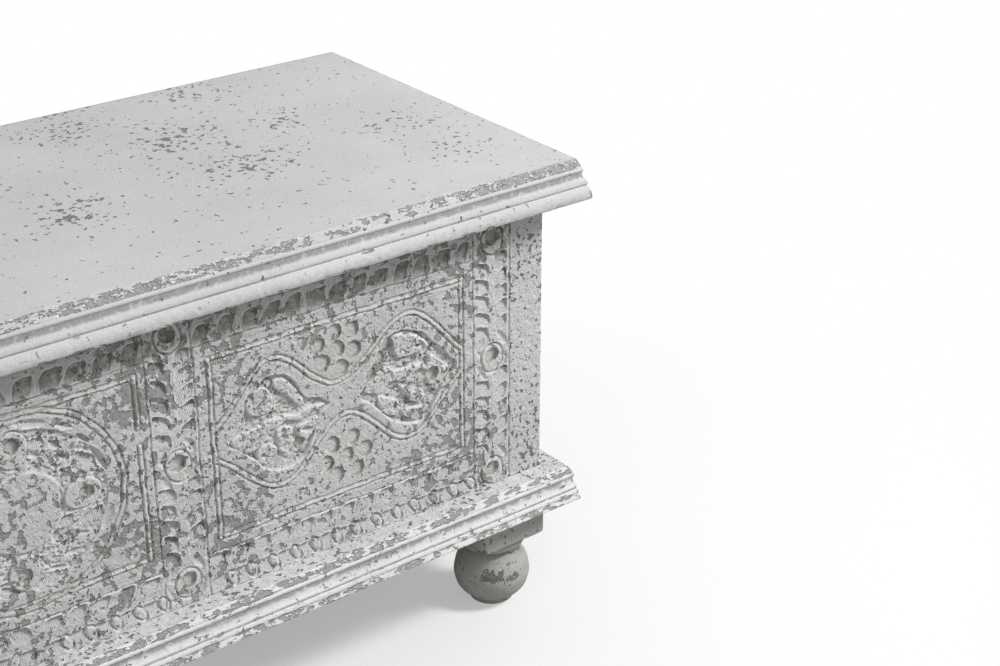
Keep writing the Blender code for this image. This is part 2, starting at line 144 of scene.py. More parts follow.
def pits(u: Array, v: Array, cell: float, share: float, rng: Rng) -> Array:
    """Scattered round dents.

    A share of the lattice cells holds one dent each, off its middle; its depth falls as
    1 - (r / R)^2, and where two dents meet the deeper one counts.

    Args:
        u: places along the board, mm.
        v: places up the board, mm.
        cell: lattice spacing, mm.
        share: part of the cells that hold a dent.
        rng: source of the dents' places and sizes.

    Returns:
        Depth of the dents from 0 to 1.
    """
    u, v = np.broadcast_arrays(u / cell, v / cell)
    col = np.floor(u).astype(int)
    row = np.floor(v).astype(int)
    base_u, base_v = col.min() - 1, row.min() - 1
    shape = (row.max() - base_v + 2, col.max() - base_u + 2)
    middle_u = rng.uniform(0.15, 0.85, shape)
    middle_v = rng.uniform(0.15, 0.85, shape)
    radius = np.where(rng.uniform(size=shape) < share, rng.uniform(0.22, 0.55, shape), 1e-6)
    deep = np.zeros(u.shape)
    for step_v in (-1, 0, 1):
        for step_u in (-1, 0, 1):
            i, j = row + step_v - base_v, col + step_u - base_u
            away_u = u - (col + step_u + middle_u[i, j])
            away_v = v - (row + step_v + middle_v[i, j])
            deep = np.maximum(deep, 1 - (away_u**2 + away_v**2) / radius[i, j] ** 2)
    return deep


def blurred(field: Array, cells: int) -> Array:
    """Mean of a field over squares of 2 * cells + 1 points, by running sums along each axis.

    Args:
        field: values on a grid; its edge values are repeated outside it.
        cells: half width of the square.

    Returns:
        The blurred field, of the same shape.
    """
    size = 2 * cells + 1
    for axis in (0, 1):
        margin = [(0, 0), (0, 0)]
        margin[axis] = (cells + 1, cells)
        total = np.cumsum(np.pad(field, margin, mode="edge"), axis=axis)
        count = field.shape[axis]
        ahead = np.take(total, np.arange(size, size + count), axis=axis)
        field = (ahead - np.take(total, np.arange(count), axis=axis)) / size
    return field


def rounded_loop(corners: Array, steps: int = 8) -> Array:
    """Smooth closed outline through corners: a cubic on each span, whose slope at a corner is half
    of the way between that corner's neighbours.

    Args:
        corners: outline's points in order, shape (n, 2).
        steps: points made on each span.

    Returns:
        Points of the outline, shape (n * steps, 2).
    """
    before, after = np.roll(corners, 1, 0), np.roll(corners, -1, 0)
    beyond = np.roll(corners, -2, 0)
    t = np.linspace(0, 1, steps, endpoint=False)[None, :, None]
    slope, next_slope = (after - before)[:, None] / 2, (beyond - corners)[:, None] / 2
    start, end = corners[:, None], after[:, None]
    span = (
        start * (1 - 3 * t**2 + 2 * t**3)
        + end * (3 * t**2 - 2 * t**3)
        + slope * (t - 2 * t**2 + t**3)
        + next_slope * (t**3 - t**2)
    )
    return span.reshape(-1, 2)


def depth_inside(loop: Array, u: Array, v: Array) -> Array:
    """Distance in from a closed outline, negative outside it.

    The distance is the least of those to the outline's edges; a point is inside if a line from it
    to the right crosses the outline an odd number of times.

    Args:
        loop: outline's points, shape (n, 2).
        u: places along, shape (rows, cols).
        v: places up, shape (rows, cols).

    Returns:
        Signed distances, shape (rows, cols).
    """
    start = loop[:, :, None, None]
    step = np.roll(loop, -1, 0)[:, :, None, None] - start
    away_u, away_v = u[None] - start[:, 0], v[None] - start[:, 1]
    length = np.maximum((step**2).sum(1), 1e-12)
    along = np.clip((away_u * step[:, 0] + away_v * step[:, 1]) / length, 0, 1)
    near = np.hypot(away_u - along * step[:, 0], away_v - along * step[:, 1]).min(0)
    above, end_above = away_v < 0, away_v - step[:, 1] < 0
    rise = np.where(np.abs(step[:, 1]) < 1e-12, 1e-12, step[:, 1])
    crosses = (above != end_above) & (away_u < step[:, 0] * away_v / rise)
    return np.where(crosses.sum(0) % 2 == 1, near, -near)


def course(turns: Array, u: Array) -> tuple[Array, Array]:
    """Height and slope of a wavy line that runs level at each turning point.

    Between two turning points the height follows half a cosine.

    Args:
        turns: turning points in order along u, shape (n, 2).
        u: places along the line.

    Returns:
        The heights and the slopes at u.
    """
    index = np.clip(np.searchsorted(turns[:, 0], u) - 1, 0, len(turns) - 2)
    start, end = turns[index], turns[index + 1]
    run, rise = end[..., 0] - start[..., 0], end[..., 1] - start[..., 1]
    share = np.clip((u - start[..., 0]) / run, 0, 1)
    height = start[..., 1] + rise * (1 - np.cos(np.pi * share)) / 2
    return height, rise * np.pi * np.sin(np.pi * share) / 2 / run


def arc(start: Pair, end: Pair, bulge: float, steps: int = 12) -> Array:
    """Points after start, up to end, on an arc that stands bulge proud of its chord.

    The half angle is twice the arc tangent of bulge over half the chord.

    Args:
        start: first point, as (reach, drop).
        end: last point.
        bulge: height of the arc over its chord, negative for a hollow.
        steps: points made.

    Returns:
        Points of shape (steps, 2).
    """
    first, last = np.array(start), np.array(end)
    chord = last - first
    half = np.hypot(*chord) / 2
    along = chord / (2 * half)
    outward = np.array((along[1], -along[0]))
    reach = 2 * math.atan(bulge / half)
    angle = reach * np.linspace(-1, 1, steps + 1)[1:, None]
    run = half * np.sin(angle) / math.sin(reach)
    rise = half * (np.cos(angle) - math.cos(reach)) / math.sin(reach)
    return (first + last) / 2 + along * run + outward * rise


def lengths(points: Array) -> Array:
    """Length along a broken line at each of its points, from 0."""
    return np.concatenate(([0.0], np.cumsum(np.hypot(*np.diff(points, axis=0).T))))


def even_steps(points: Array, spacing: float, ease: int = 1) -> Array:
    """A broken line with evenly spaced points and slightly rubbed corners.

    Points are set at equal lengths along the line; each pass of rubbing takes a quarter of both
    neighbours and half of the point itself.

    Args:
        points: corners of the line, shape (n, 2).
        spacing: about how far apart the new points are.
        ease: passes of rubbing.

    Returns:
        The new points, with the two ends where they were.
    """
    length = lengths(points)
    at = np.linspace(0, length[-1], int(length[-1] / spacing) + 1)
    line = np.stack([np.interp(at, length, points[:, axis]) for axis in (0, 1)], 1)
    for _ in range(ease):
        line[1:-1] = line[:-2] / 4 + line[1:-1] / 2 + line[2:] / 4
    return line


def placed(x: Array, y: Array, z: Array) -> Array:
    """Points from their coordinates, broadcast to one shape."""
    return np.stack(np.broadcast_arrays(x, y, z), -1)


# Meshes


class Skin:
    """Points and triangles of one piece, gathered grid by grid."""

    def __init__(self) -> None:
        """Start with no points."""
        self.points: list[Array] = []
        self.triangles: list[Array] = []
        self.marks: dict[str, list[tuple[Array, Array]]] = {}
        self.count = 0

    def take(self, points: Array, **marks: Array) -> Array:
        """Take in points without faces.

        Args:
            points: array of points, last axis x, y, z.
            marks: named values at the points, broadcast to their shape.

        Returns:
            Index of each point, in the shape of the array.
        """
        shape = points.shape[:-1]
        index = self.count + np.arange(np.prod(shape)).reshape(shape)
        self.points.append(points.reshape(-1, 3))
        self.count += index.size
        for name, values in marks.items():
            spread = np.broadcast_to(values, shape).ravel()
            self.marks.setdefault(name, []).append((index.ravel(), spread))
        return index

    def join(self, index: Array, around: bool = False) -> None:
        """Make the faces of a grid of point indexes.

        Args:
            index: indexes of the grid's points, shape (rows, columns).
            around: whether the last column joins the first.
        """
        loop = np.concatenate([index, index[:, :1]], 1) if around else index
        a, b = loop[:-1, :-1].ravel(), loop[:-1, 1:].ravel()
        c, d = loop[1:, 1:].ravel(), loop[1:, :-1].ravel()
        self.triangles += [np.stack((a, b, c), 1), np.stack((a, c, d), 1)]

    def grid(self, points: Array, around: bool = False, **marks: Array) -> Array:
        """Take in a grid of points and make its faces.

        Args:
            points: shape (rows, columns, 3); columns then rows turn to the outside.
            around: whether the last column joins the first.
            marks: named values at the points.

        Returns:
            Index of each point, shape (rows, columns).
        """
        index = self.take(points, **marks)
        self.join(index, around)
        return index

    def fan(self, loop: Array, middle: Array, backward: bool = False, **marks: Array) -> None:
        """Close a loop of points by triangles that meet in a middle point.

        Args:
            loop: indexes of the loop's points in order.
            middle: the middle point.
            backward: whether the faces look the other way.
            marks: named values at the middle point.
        """
        centre = self.take(np.asarray(middle, float).reshape(1, 3), **marks)[0]
        following = np.roll(loop, -1)
        pair = (following, loop) if backward else (loop, following)
        self.triangles.append(np.stack((np.full(loop.size, centre), *pair), 1))

    @staticmethod
    def border(index: Array) -> Array:
        """Indexes round a grid's edge: first row, last column, last row back, first column back."""
        return np.concatenate((index[0, :-1], index[:-1, -1], index[-1, :0:-1], index[:0:-1, 0]))

    def piece(
        self, name: str, finish: Material, body: Body, slot: Slot, *nodes: str
    ) -> bpy.types.Object:
        """Make the mesh and hang it on its body.

        The faces are turned outward by the sign of the volume: a sixth of the sum of a . (b x c).

        Args:
            name: name of the piece.
            finish: its material.
            body: the body that it rides on.
            slot: the record's slot that its finish belongs to; not used.
            nodes: the nodes that it stands for.

        Returns:
            The new object.
        """
        points = np.concatenate(self.points)
        faces = np.concatenate(self.triangles)
        a, b, c = (points[faces[:, corner]] for corner in range(3))
        if np.einsum("ij,ij->", a, np.cross(b, c)) < 0:
            faces = faces[:, ::-1]
        mesh = bpy.data.meshes.new(name)
        mesh.from_pydata(points, [], faces)
        mesh.update()
        for mark, parts in self.marks.items():
            values = np.zeros(len(points))
            for index, part in parts:
                values[index] = part
            layer = mesh.attributes.new(mark, "FLOAT", "POINT")
            layer.data.foreach_set("value", values.astype(np.float32))
        mesh.shade_smooth()
        mesh.set_sharp_from_angle(angle=SHARP_ANGLE)
        mesh.materials.append(finish)
        made = bpy.data.objects.new(name, mesh)
        bpy.context.scene.collection.objects.link(made)
        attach(made, body.value)
        if nodes:
            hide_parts(*nodes)
        log.info("%s: %d triangles on %s", name, len(faces), body.value)
        return made


# Finishes


class NodeBench:
    """Wires the nodes of one material."""

    def __init__(self, name: str) -> None:
        """Make a material with a Principled shader.

        Args:
            name: the material's name.
        """
        self.material = bpy.data.materials.new(name)
        self.material.use_nodes = True
        self.nodes = self.material.node_tree.nodes
        self.links = self.material.node_tree.links
        self.shader = self.nodes["Principled BSDF"]
        self.place = self.nodes.new("ShaderNodeTexCoord").outputs["Object"]

    def feed(self, target: Socket, source: Socket | float | Colour) -> None:
        """Link a socket to a source, or set it to a plain value.

        Args:
            target: the socket to feed.
            source: another socket, a number or a colour.
        """
        if isinstance(source, Socket):
            self.links.new(source, target)
        elif isinstance(source, tuple) and target.type == "RGBA":
            target.default_value = (*source, 1.0)
        else:
            target.default_value = source

    def sums(
        self, kind: str, first: Socket | float, second: Socket | float = 0.0, third: float = 0.0
    ) -> Socket:
        """One step of arithmetic.

        Args:
            kind: name of the Math node's operation.
            first: first number.
            second: second number.
            third: third number.

        Returns:
            The result's socket.
        """
        node = self.nodes.new("ShaderNodeMath")
        node.operation = kind
        for socket, value in zip(node.inputs, (first, second, third)):
            self.feed(socket, value)
        return node.outputs[0]

    def stretched(self, scale: Triple) -> Socket:
        """Object coordinates stretched along each axis, for patterns that run one way.

        Args:
            scale: stretch along each axis.

        Returns:
            Socket of the coordinates.
        """
        node = self.nodes.new("ShaderNodeMapping")
        self.links.new(self.place, node.inputs["Vector"])
        node.inputs["Scale"].default_value = scale
        return node.outputs["Vector"]

    def noise(
        self,
        where: Socket,
        scale: float,
        detail: float = 2.0,
        rough: float = 0.5,
        bend: float = 0.0,
    ) -> Socket:
        """Cloudy noise.

        Args:
            where: coordinates to read it at.
            scale: clouds per metre.
            detail: octaves of finer clouds.
            rough: share of each finer octave.
            bend: how far the clouds are pulled out of shape.

        Returns:
            Socket of values round a half.
        """
        node = self.nodes.new("ShaderNodeTexNoise")
        self.links.new(where, node.inputs["Vector"])
        names = ("Scale", "Detail", "Roughness", "Distortion")
        for name, value in zip(names, (scale, detail, rough, bend)):
            node.inputs[name].default_value = value
        return node.outputs["Fac"]

    def band(self, source: Socket, low: float, high: float, end: float = 1.0) -> Socket:
        """Values from low to high brought to 0 to end, held at both.

        Args:
            source: the values.
            low: value that gives 0.
            high: value that gives end.
            end: the last result.

        Returns:
            Socket of the results.
        """
        node = self.nodes.new("ShaderNodeMapRange")
        self.links.new(source, node.inputs["Value"])
        names = ("From Min", "From Max", "To Min", "To Max")
        for name, value in zip(names, (low, high, 0.0, end)):
            node.inputs[name].default_value = value
        return node.outputs["Result"]

    def blend(
        self, share: Socket | float, first: Socket | Colour, second: Socket | Colour
    ) -> Socket:
        """Two colours mixed.

        Args:
            share: part of the second colour.
            first: first colour.
            second: second colour.

        Returns:
            The mixed colour's socket.
        """
        node = self.nodes.new("ShaderNodeMix")
        node.data_type = "RGBA"
        self.feed(node.inputs["Factor"], share)
        for place, colour in zip(MIX_COLOURS, (first, second)):
            self.feed(node.inputs[place], colour)
        return node.outputs[MIXED_COLOUR]

    def mark(self, name: str) -> Socket:
        """A value that the piece's points carry.

        Args:
            name: name of the mark.

        Returns:
            Socket of the value.
        """
        node = self.nodes.new("ShaderNodeAttribute")
        node.attribute_name = name
        return node.outputs["Fac"]

    def relief(self, height: Socket, distance: float, under: Socket | None = None) -> Socket:
        """A bump, on top of another if there is one.

        Args:
            height: socket of the height.
            distance: metres for each unit of height.
            under: normal of the bump below.

        Returns:
            Socket of the normal.
        """
        node = self.nodes.new("ShaderNodeBump")
        node.inputs["Distance"].default_value = distance
        self.links.new(height, node.inputs["Height"])
        if under is not None:
            self.links.new(under, node.inputs["Normal"])
        return node.outputs["Normal"]

    def finish(self, colour: Socket, rough: Socket, normal: Socket) -> Material:
        """Link the shader's inputs.

        Args:
            colour: socket of the colour.
            rough: socket of the roughness.
            normal: socket of the normal.

        Returns:
            The finished material.
        """
        for name, source in (("Base Color", colour), ("Roughness", rough), ("Normal", normal)):
            self.links.new(source, self.shader.inputs[name])
        return self.material


@dataclass(frozen=True)
class BareWood:
    """Sawn wood: long grain from stretched noise, pores, and a little relief."""

    name: str
    # Stretch of the grain along each axis; the smallest is the board's length
    grain: Triple = (2.0, 45.0, 45.0)
    light: Colour = (0.40, 0.27, 0.16)  # colour of the early wood
    dark: Colour = (0.23, 0.135, 0.07)  # colour of the late wood

    def colour_on(self, bench: NodeBench) -> tuple[Socket, Socket]:
        """Colour and height of the wood.

        Args:
            bench: the material's bench.

        Returns:
            Sockets of the colour and of a height round a half.
        """
        along = bench.stretched(self.grain)
        figure = bench.noise(along, 0.9, 3.0, 0.55, 0.6)
        pores = bench.noise(bench.stretched(tuple(4 * g for g in self.grain)), 2.2, 2.0, 0.6)
        wood = bench.blend(bench.band(figure, 0.34, 0.68), self.light, self.dark)
        cloud = bench.band(bench.noise(bench.place, 6.0, 2.0), 0.3, 0.7, 0.35)
        wood = bench.blend(cloud, wood, (0.30, 0.20, 0.125))
        wood = bench.blend(bench.band(pores, 0.56, 0.70, 0.55), wood, (0.12, 0.07, 0.04))
        return wood, bench.sums("SUBTRACT", figure, bench.sums("MULTIPLY", pores, 0.6))

    def material(self) -> Material:
        """The wood on its own.

        Returns:
            The new material.
        """
        bench = NodeBench(self.name)
        colour, height = self.colour_on(bench)
        rough = bench.band(height, 0.0, 0.5, 0.85)
        bench.shader.inputs["Specular IOR Level"].default_value = 0.35
        return bench.finish(colour, rough, bench.relief(height, 0.0006))


@dataclass(frozen=True)
class DistressedPaint:
    """Chalky paint, chipped to a flat grey ground.

    A chip is where cloudy noise passes a level; the level falls where the piece is marked worn, so
    chips gather on arrises. Finer flecks do the same by their own noise and mark. The paint's
    thickness, its raised rim, tool marks and grain make the relief. What is marked hollow is darkened
    towards a grey-brown, partly as soiling and partly as painted shade in creases and under overhangs.
    The rim round a chip is painted paler as a highlight on the paint's raised edge, and what is marked
    crest is paler too, partly as a painted highlight on ridges and partly as paler paint left there.
    """

    name: str
    paint: Colour = (0.63, 0.63, 0.62)  # colour of the paint
    ground: Colour = (0.36, 0.36, 0.35)  # colour where the paint is gone
    pit: Colour = (0.20, 0.20, 0.195)  # colour at the bottom of a fleck
    grime_and_shade: Colour = (0.25, 0.24, 0.205)  # colour of the soiling in hollows, which also serves as painted shade in creases and under overhangs
    chip_scale: float = 135.0  # chips per metre of noise
    chip_stretch: Triple = (1.0, 1.0, 1.0)  # stretch of the chips along each axis
    chip_ragged: float = 0.55  # share of each finer octave in the chips' outlines
    chip_level: float = 0.66  # noise level that a chip starts from
    islands: float = 0.0  # share of the paint left in fine islands on a chip
    crowding: float = 0.26  # how far chips gather in crowds
    worn_pull: float = 0.17  # how far the mark worn lowers the chips' level
    fleck_scale: float = 230.0  # flecks per metre of noise
    fleck_level: float = 0.74  # noise level that a fleck starts from
    fleck_pull: float = 0.13  # how far the mark fleck lowers the flecks' level
    grain: float = 2.0  # depth of the paint's pimpled skin, in thicknesses of paint
    crackle: float = 0.0  # strength of the hairline cracks across the strip, from 0 to 1
    streak: Triple = (3.0, 70.0, 70.0)  # stretch of the brush marks
    bare_side: BareSide = BareSide.NONE  # face of a board that is bare wood

    def losses(self, bench: NodeBench) -> tuple[Socket, Socket, Socket, Socket]:
        """Where the paint has come off.

        Args:
            bench: the material's bench.

        Returns:
            Sockets that are 1 on a chip, on a fleck, on the rim round a chip, which is painted paler
            as a highlight, and where the paint has its full thickness.
        """
        lift = bench.sums("MULTIPLY_ADD", bench.noise(bench.place, 9.0, 2.0), 0.18, -0.09)
        crowd = bench.noise(bench.place, 38.0, 1.0)
        crowd = bench.sums("MULTIPLY_ADD", crowd, self.crowding, -self.crowding / 2)
        where = bench.stretched(self.chip_stretch)
        cloud = bench.noise(where, self.chip_scale, 3.0, self.chip_ragged)
        pull = bench.sums("MULTIPLY", bench.mark("worn"), self.worn_pull)
        level = bench.sums("ADD", bench.sums("ADD", cloud, pull), bench.sums("ADD", lift, crowd))
        bits = bench.noise(where, 520.0, 2.0, 0.6)
        gone = bench.sums("SUBTRACT", 1.0, bench.band(bits, 0.53, 0.60, self.islands))
        chips = bench.band(level, self.chip_level, self.chip_level + 0.012)
        chips = bench.sums("MULTIPLY", chips, gone)
        # a band just outside each chip, painted paler as a highlight on the paint's edge
        rim = bench.band(level, self.chip_level - 0.045, self.chip_level - 0.02)
        rim = bench.sums("MULTIPLY", rim, bench.sums("SUBTRACT", 1.0, chips))
        edge = bench.band(level, self.chip_level - 0.03, self.chip_level + 0.045)
        edge = bench.sums("MULTIPLY", edge, gone)
        fine = bench.noise(bench.place, self.fleck_scale, 1.5, 0.5)
        pull = bench.sums("MULTIPLY", bench.mark("fleck"), self.fleck_pull)
        level = bench.sums("ADD", bench.sums("ADD", fine, pull), bench.sums("MULTIPLY", lift, 0.5))
        flecks = bench.band(level, self.fleck_level, self.fleck_level + 0.03)
        thick = bench.sums("SUBTRACT", 1.0, bench.sums("MAXIMUM", edge, flecks))
        return chips, flecks, rim, thick

    def cracks(self, bench: NodeBench) -> Socket:
        """Hairline cracks across a strip: the crests of a sine along it, spaced unevenly by noise.

        Args:
            bench: the material's bench.

        Returns:
            Socket that is 1 in a crack.
        """
        split = bench.nodes.new("ShaderNodeSeparateXYZ")
        bench.links.new(bench.place, split.inputs[0])
        along = bench.sums("ADD", split.outputs[0], split.outputs[1])
        wander = bench.noise(bench.place, 22.0, 3.0, 0.6)
        phase = bench.sums("MULTIPLY_ADD", wander, 16.0, bench.sums("MULTIPLY", along, 190.0))
        line = bench.band(bench.sums("SINE", phase), 0.996, 0.9995)
        broken = bench.band(bench.noise(bench.place, 60.0, 2.0), 0.48, 0.60, self.crackle)
        return bench.sums("MULTIPLY", line, broken)

    def coat(self, bench: NodeBench, brush: Socket, skin: Socket, rim: Socket) -> Socket:
        """Colour of the paint where it holds.

        Args:
            bench: the material's bench.
            brush: brush marks.
            skin: pimples of the paint's skin.
            rim: raised rims round chips, painted paler as a highlight.

        Returns:
            Socket of the colour.
        """
        shade, light, pale = (tuple(k * part for part in self.paint) for k in (0.88, 1.06, 1.14))
        # paler paint colour for the painted highlights on chip rims and crests
        highlight_tint = tuple(min(0.86, 1.35 * part) for part in self.paint)
        tone = bench.noise(bench.place, 7.0, 3.0, 0.6)
        speck = bench.noise(bench.place, 800.0, 2.0, 0.7)
        colour = bench.blend(bench.band(tone, 0.30, 0.70), shade, light)
        colour = bench.blend(bench.band(brush, 0.35, 0.75, 0.25), colour, shade)
        colour = bench.blend(bench.band(skin, 0.45, 0.28, 0.5), colour, shade)
        colour = bench.blend(bench.band(speck, 0.50, 0.62, 0.6), colour, pale)
        # painted highlight on the rims round chips, and on crests, which are partly paler paint
        rim_and_crest_highlight = bench.sums("MULTIPLY", bench.sums("MAXIMUM", rim, bench.mark("crest_highlight")), 0.7)
        return bench.blend(rim_and_crest_highlight, colour, highlight_tint)

    def material(self) -> Material:
        """The paint with its chips, tool marks and grime.

        Returns:
            The new material.
        """
        bench = NodeBench(self.name)
        chips, flecks, rim, thick = self.losses(bench)
        brush = bench.noise(bench.stretched(self.streak), 1.0, 3.0, 0.6)
        blot = bench.noise(bench.place, 160.0, 3.0, 0.6)
        skin = bench.noise(bench.place, 420.0, 2.0, 0.55)
        paint = self.coat(bench, brush, skin, rim)
        dull = tuple(0.84 * part for part in self.ground)
        ground = bench.blend(bench.band(blot, 0.35, 0.70), self.ground, dull)
        colour = bench.blend(chips, paint, ground)
        colour = bench.blend(flecks, colour, self.pit)
        # the mark hollow darkens towards that colour: soiling, and painted shade where a piece sets the
        # mark for shade
        dirt_and_shade = bench.sums("MULTIPLY", bench.mark("hollow"), bench.band(blot, 0.28, 0.60, 0.4))
        colour = bench.blend(bench.sums("MINIMUM", dirt_and_shade, 0.72), colour, self.grime_and_shade)
        ripple = bench.sums("SINE", bench.sums("MULTIPLY", bench.mark("chatter"), 4.4))
        ripple = bench.sums("MULTIPLY", ripple, bench.mark("toolmark"))
        crust = bench.sums("ADD", bench.mark("crust"), self.grain)
        fine = bench.sums("MULTIPLY", bench.sums("MULTIPLY_ADD", blot, 0.8, skin), crust)
        fine = bench.sums("MULTIPLY_ADD", ripple, 0.25, fine)
        fine = bench.sums("MULTIPLY_ADD", brush, 0.20, fine)
        if self.crackle:
            crack = self.cracks(bench)
            colour = bench.blend(crack, colour, self.ground)
            thick = bench.sums("MULTIPLY_ADD", crack, -0.5, thick)
        rough = bench.sums("MULTIPLY_ADD", chips, 0.12, bench.band(blot, 0.2, 0.8, 0.12))
        rough = bench.sums("ADD", rough, 0.64)
        bare = self.bare(bench)
        wood, wood_height = BareWood("").colour_on(bench)
        colour = bench.blend(bare, colour, wood)
        fine = bench.sums("MULTIPLY_ADD", bench.sums("MULTIPLY", bare, wood_height), 0.8, fine)
        bench.shader.inputs["Specular IOR Level"].default_value = 0.3
        return bench.finish(colour, rough, bench.relief(fine, 0.0006, bench.relief(thick, 0.0015)))

    def bare(self, bench: NodeBench) -> Socket:
        """Where the board was never painted: the mark bare, or past the bare side's limit.

        Args:
            bench: the material's bench.

        Returns:
            Socket that is 1 on bare wood.
        """
        share = bench.band(bench.mark("bare"), 0.45, 0.55)
        axis, way, limit = self.bare_side.value
        if self.bare_side is BareSide.NONE:
            return share
        split = bench.nodes.new("ShaderNodeSeparateXYZ")
        bench.links.new(bench.place, split.inputs[0])
        past = bench.sums("MULTIPLY", split.outputs[axis], way)
        edge = bench.sums("MULTIPLY_ADD", bench.noise(bench.place, 60.0, 3.0), 0.0016, past)
        return bench.sums("MAXIMUM", share, bench.band(edge, limit + 0.0002, limit + 0.0012))


@dataclass(frozen=True)
class Plywood:
    """Plain plywood: broad wavy bands of peeled veneer under fine pores."""

    name: str
    light: Colour = (0.50, 0.37, 0.23)  # colour of the pale bands
    dark: Colour = (0.38, 0.26, 0.15)  # colour of the dark bands

    def material(self) -> Material:
        """The floor board's finish.

        Returns:
            The new material.
        """
        bench = NodeBench(self.name)
        along = bench.stretched((1.6, 9.0, 9.0))
        figure = bench.nodes.new("ShaderNodeTexWave")
        bench.links.new(along, figure.inputs["Vector"])
        figure.bands_direction = "Y"
        for name, value in (("Scale", 0.9), ("Distortion", 7.0), ("Detail", 3.0)):
            figure.inputs[name].default_value = value
        pores = bench.noise(bench.stretched((9.0, 160.0, 160.0)), 2.0, 2.0, 0.6)
        wood = bench.blend(figure.outputs["Fac"], self.light, self.dark)
        wood = bench.blend(bench.band(pores, 0.55, 0.70, 0.5), wood, (0.24, 0.15, 0.08))
        height = bench.sums("MULTIPLY_ADD", pores, -0.6, figure.outputs["Fac"])
        rough = bench.band(pores, 0.0, 1.0, 1.3)
        return bench.finish(wood, rough, bench.relief(height, 0.0002))


@dataclass(frozen=True)
class BlackIron:
    """Blackened steel with a brown bloom and rubbed bright spots."""

    name: str
    black: Colour = (0.075, 0.070, 0.066)  # colour of the blackened steel
    rubbed: Colour = (0.16, 0.15, 0.14)  # colour where it is rubbed
    bloom: Colour = (0.13, 0.075, 0.045)  # colour of the bloom

    def material(self) -> Material:
        """The hinges' finish.

        Returns:
            The new material.
        """
        bench = NodeBench(self.name)
        cloud = bench.noise(bench.place, 120.0, 4.0, 0.6)
        fine = bench.noise(bench.place, 900.0, 2.0)
        metal = bench.blend(bench.band(cloud, 0.35, 0.65), self.black, self.rubbed)
        metal = bench.blend(bench.band(fine, 0.58, 0.72, 0.6), metal, self.bloom)
        rough = bench.sums("ADD", bench.band(cloud, 0.3, 0.7, 0.25), 0.35)
        bench.shader.inputs["Metallic"].default_value = 0.85
        return bench.finish(metal, rough, bench.relief(fine, 0.0001))


# The chest's paints

FRONT_PAINT = DistressedPaint("front_paint")
LID_PAINT = DistressedPaint(
    "lid_paint",
    chip_level=0.76,
    chip_stretch=(0.45, 1.0, 1.0),
    chip_scale=200.0,
    worn_pull=0.22,
    ground=(0.42, 0.42, 0.41),
    grime_and_shade=(0.27, 0.27, 0.26),
    islands=0.9,
    crowding=0.12,
    chip_ragged=0.6,
    fleck_scale=185.0,
    fleck_level=0.71,
    fleck_pull=0.15,
    grain=0.4,
)
LIP_PAINT = DistressedPaint(
    "lip_paint",
    # a little paler than the lid's paint, partly as a painted highlight on the lip's rounded top edge
    paint=(0.67, 0.67, 0.66),
    pit=(0.46, 0.46, 0.45),
    grime_and_shade=(0.27, 0.27, 0.26),
    islands=0.6,
    chip_level=0.735,
    chip_stretch=(0.4, 1.0, 1.0),
    fleck_level=0.73,
    grain=0.8,
)
BASE_PAINT = DistressedPaint(
    "base_paint",
    # paler than the other paints: painted light for the moulding's members that catch more light
    paint=(0.82, 0.82, 0.81),
    ground=(0.42, 0.42, 0.41),
    grime_and_shade=(0.27, 0.27, 0.26),
    islands=0.9,
    chip_level=0.70,
    chip_scale=190.0,
    chip_stretch=(0.45, 0.8, 1.0),
    chip_ragged=0.6,
    worn_pull=0.27,
    grain=0.6,
    crackle=0.9,
)
FOOT_PAINT = DistressedPaint(
    "foot_paint",
    paint=(0.46, 0.45, 0.42),
    ground=(0.23, 0.23, 0.225),
    islands=0.7,
    chip_scale=150.0,
    chip_ragged=0.6,
    chip_level=0.70,
    grain=0.9,
)


# Carving

GROOVE_OUT = 2.5  # from the middle of a double line to each groove, mm
GROOVE_HALF = 1.4  # half width and depth of a groove, mm
RIDGE_HALF = 1.5  # half width of the ridge between the grooves, mm
LINE_ROOM = 6.0  # room round a double line, mm
MARKS = ("chatter", "toolmark", "worn", "fleck", "hollow")  # what the carving leaves behind: tool marks, wear, flecks, and hollow, which the finish darkens as soiling and painted shade
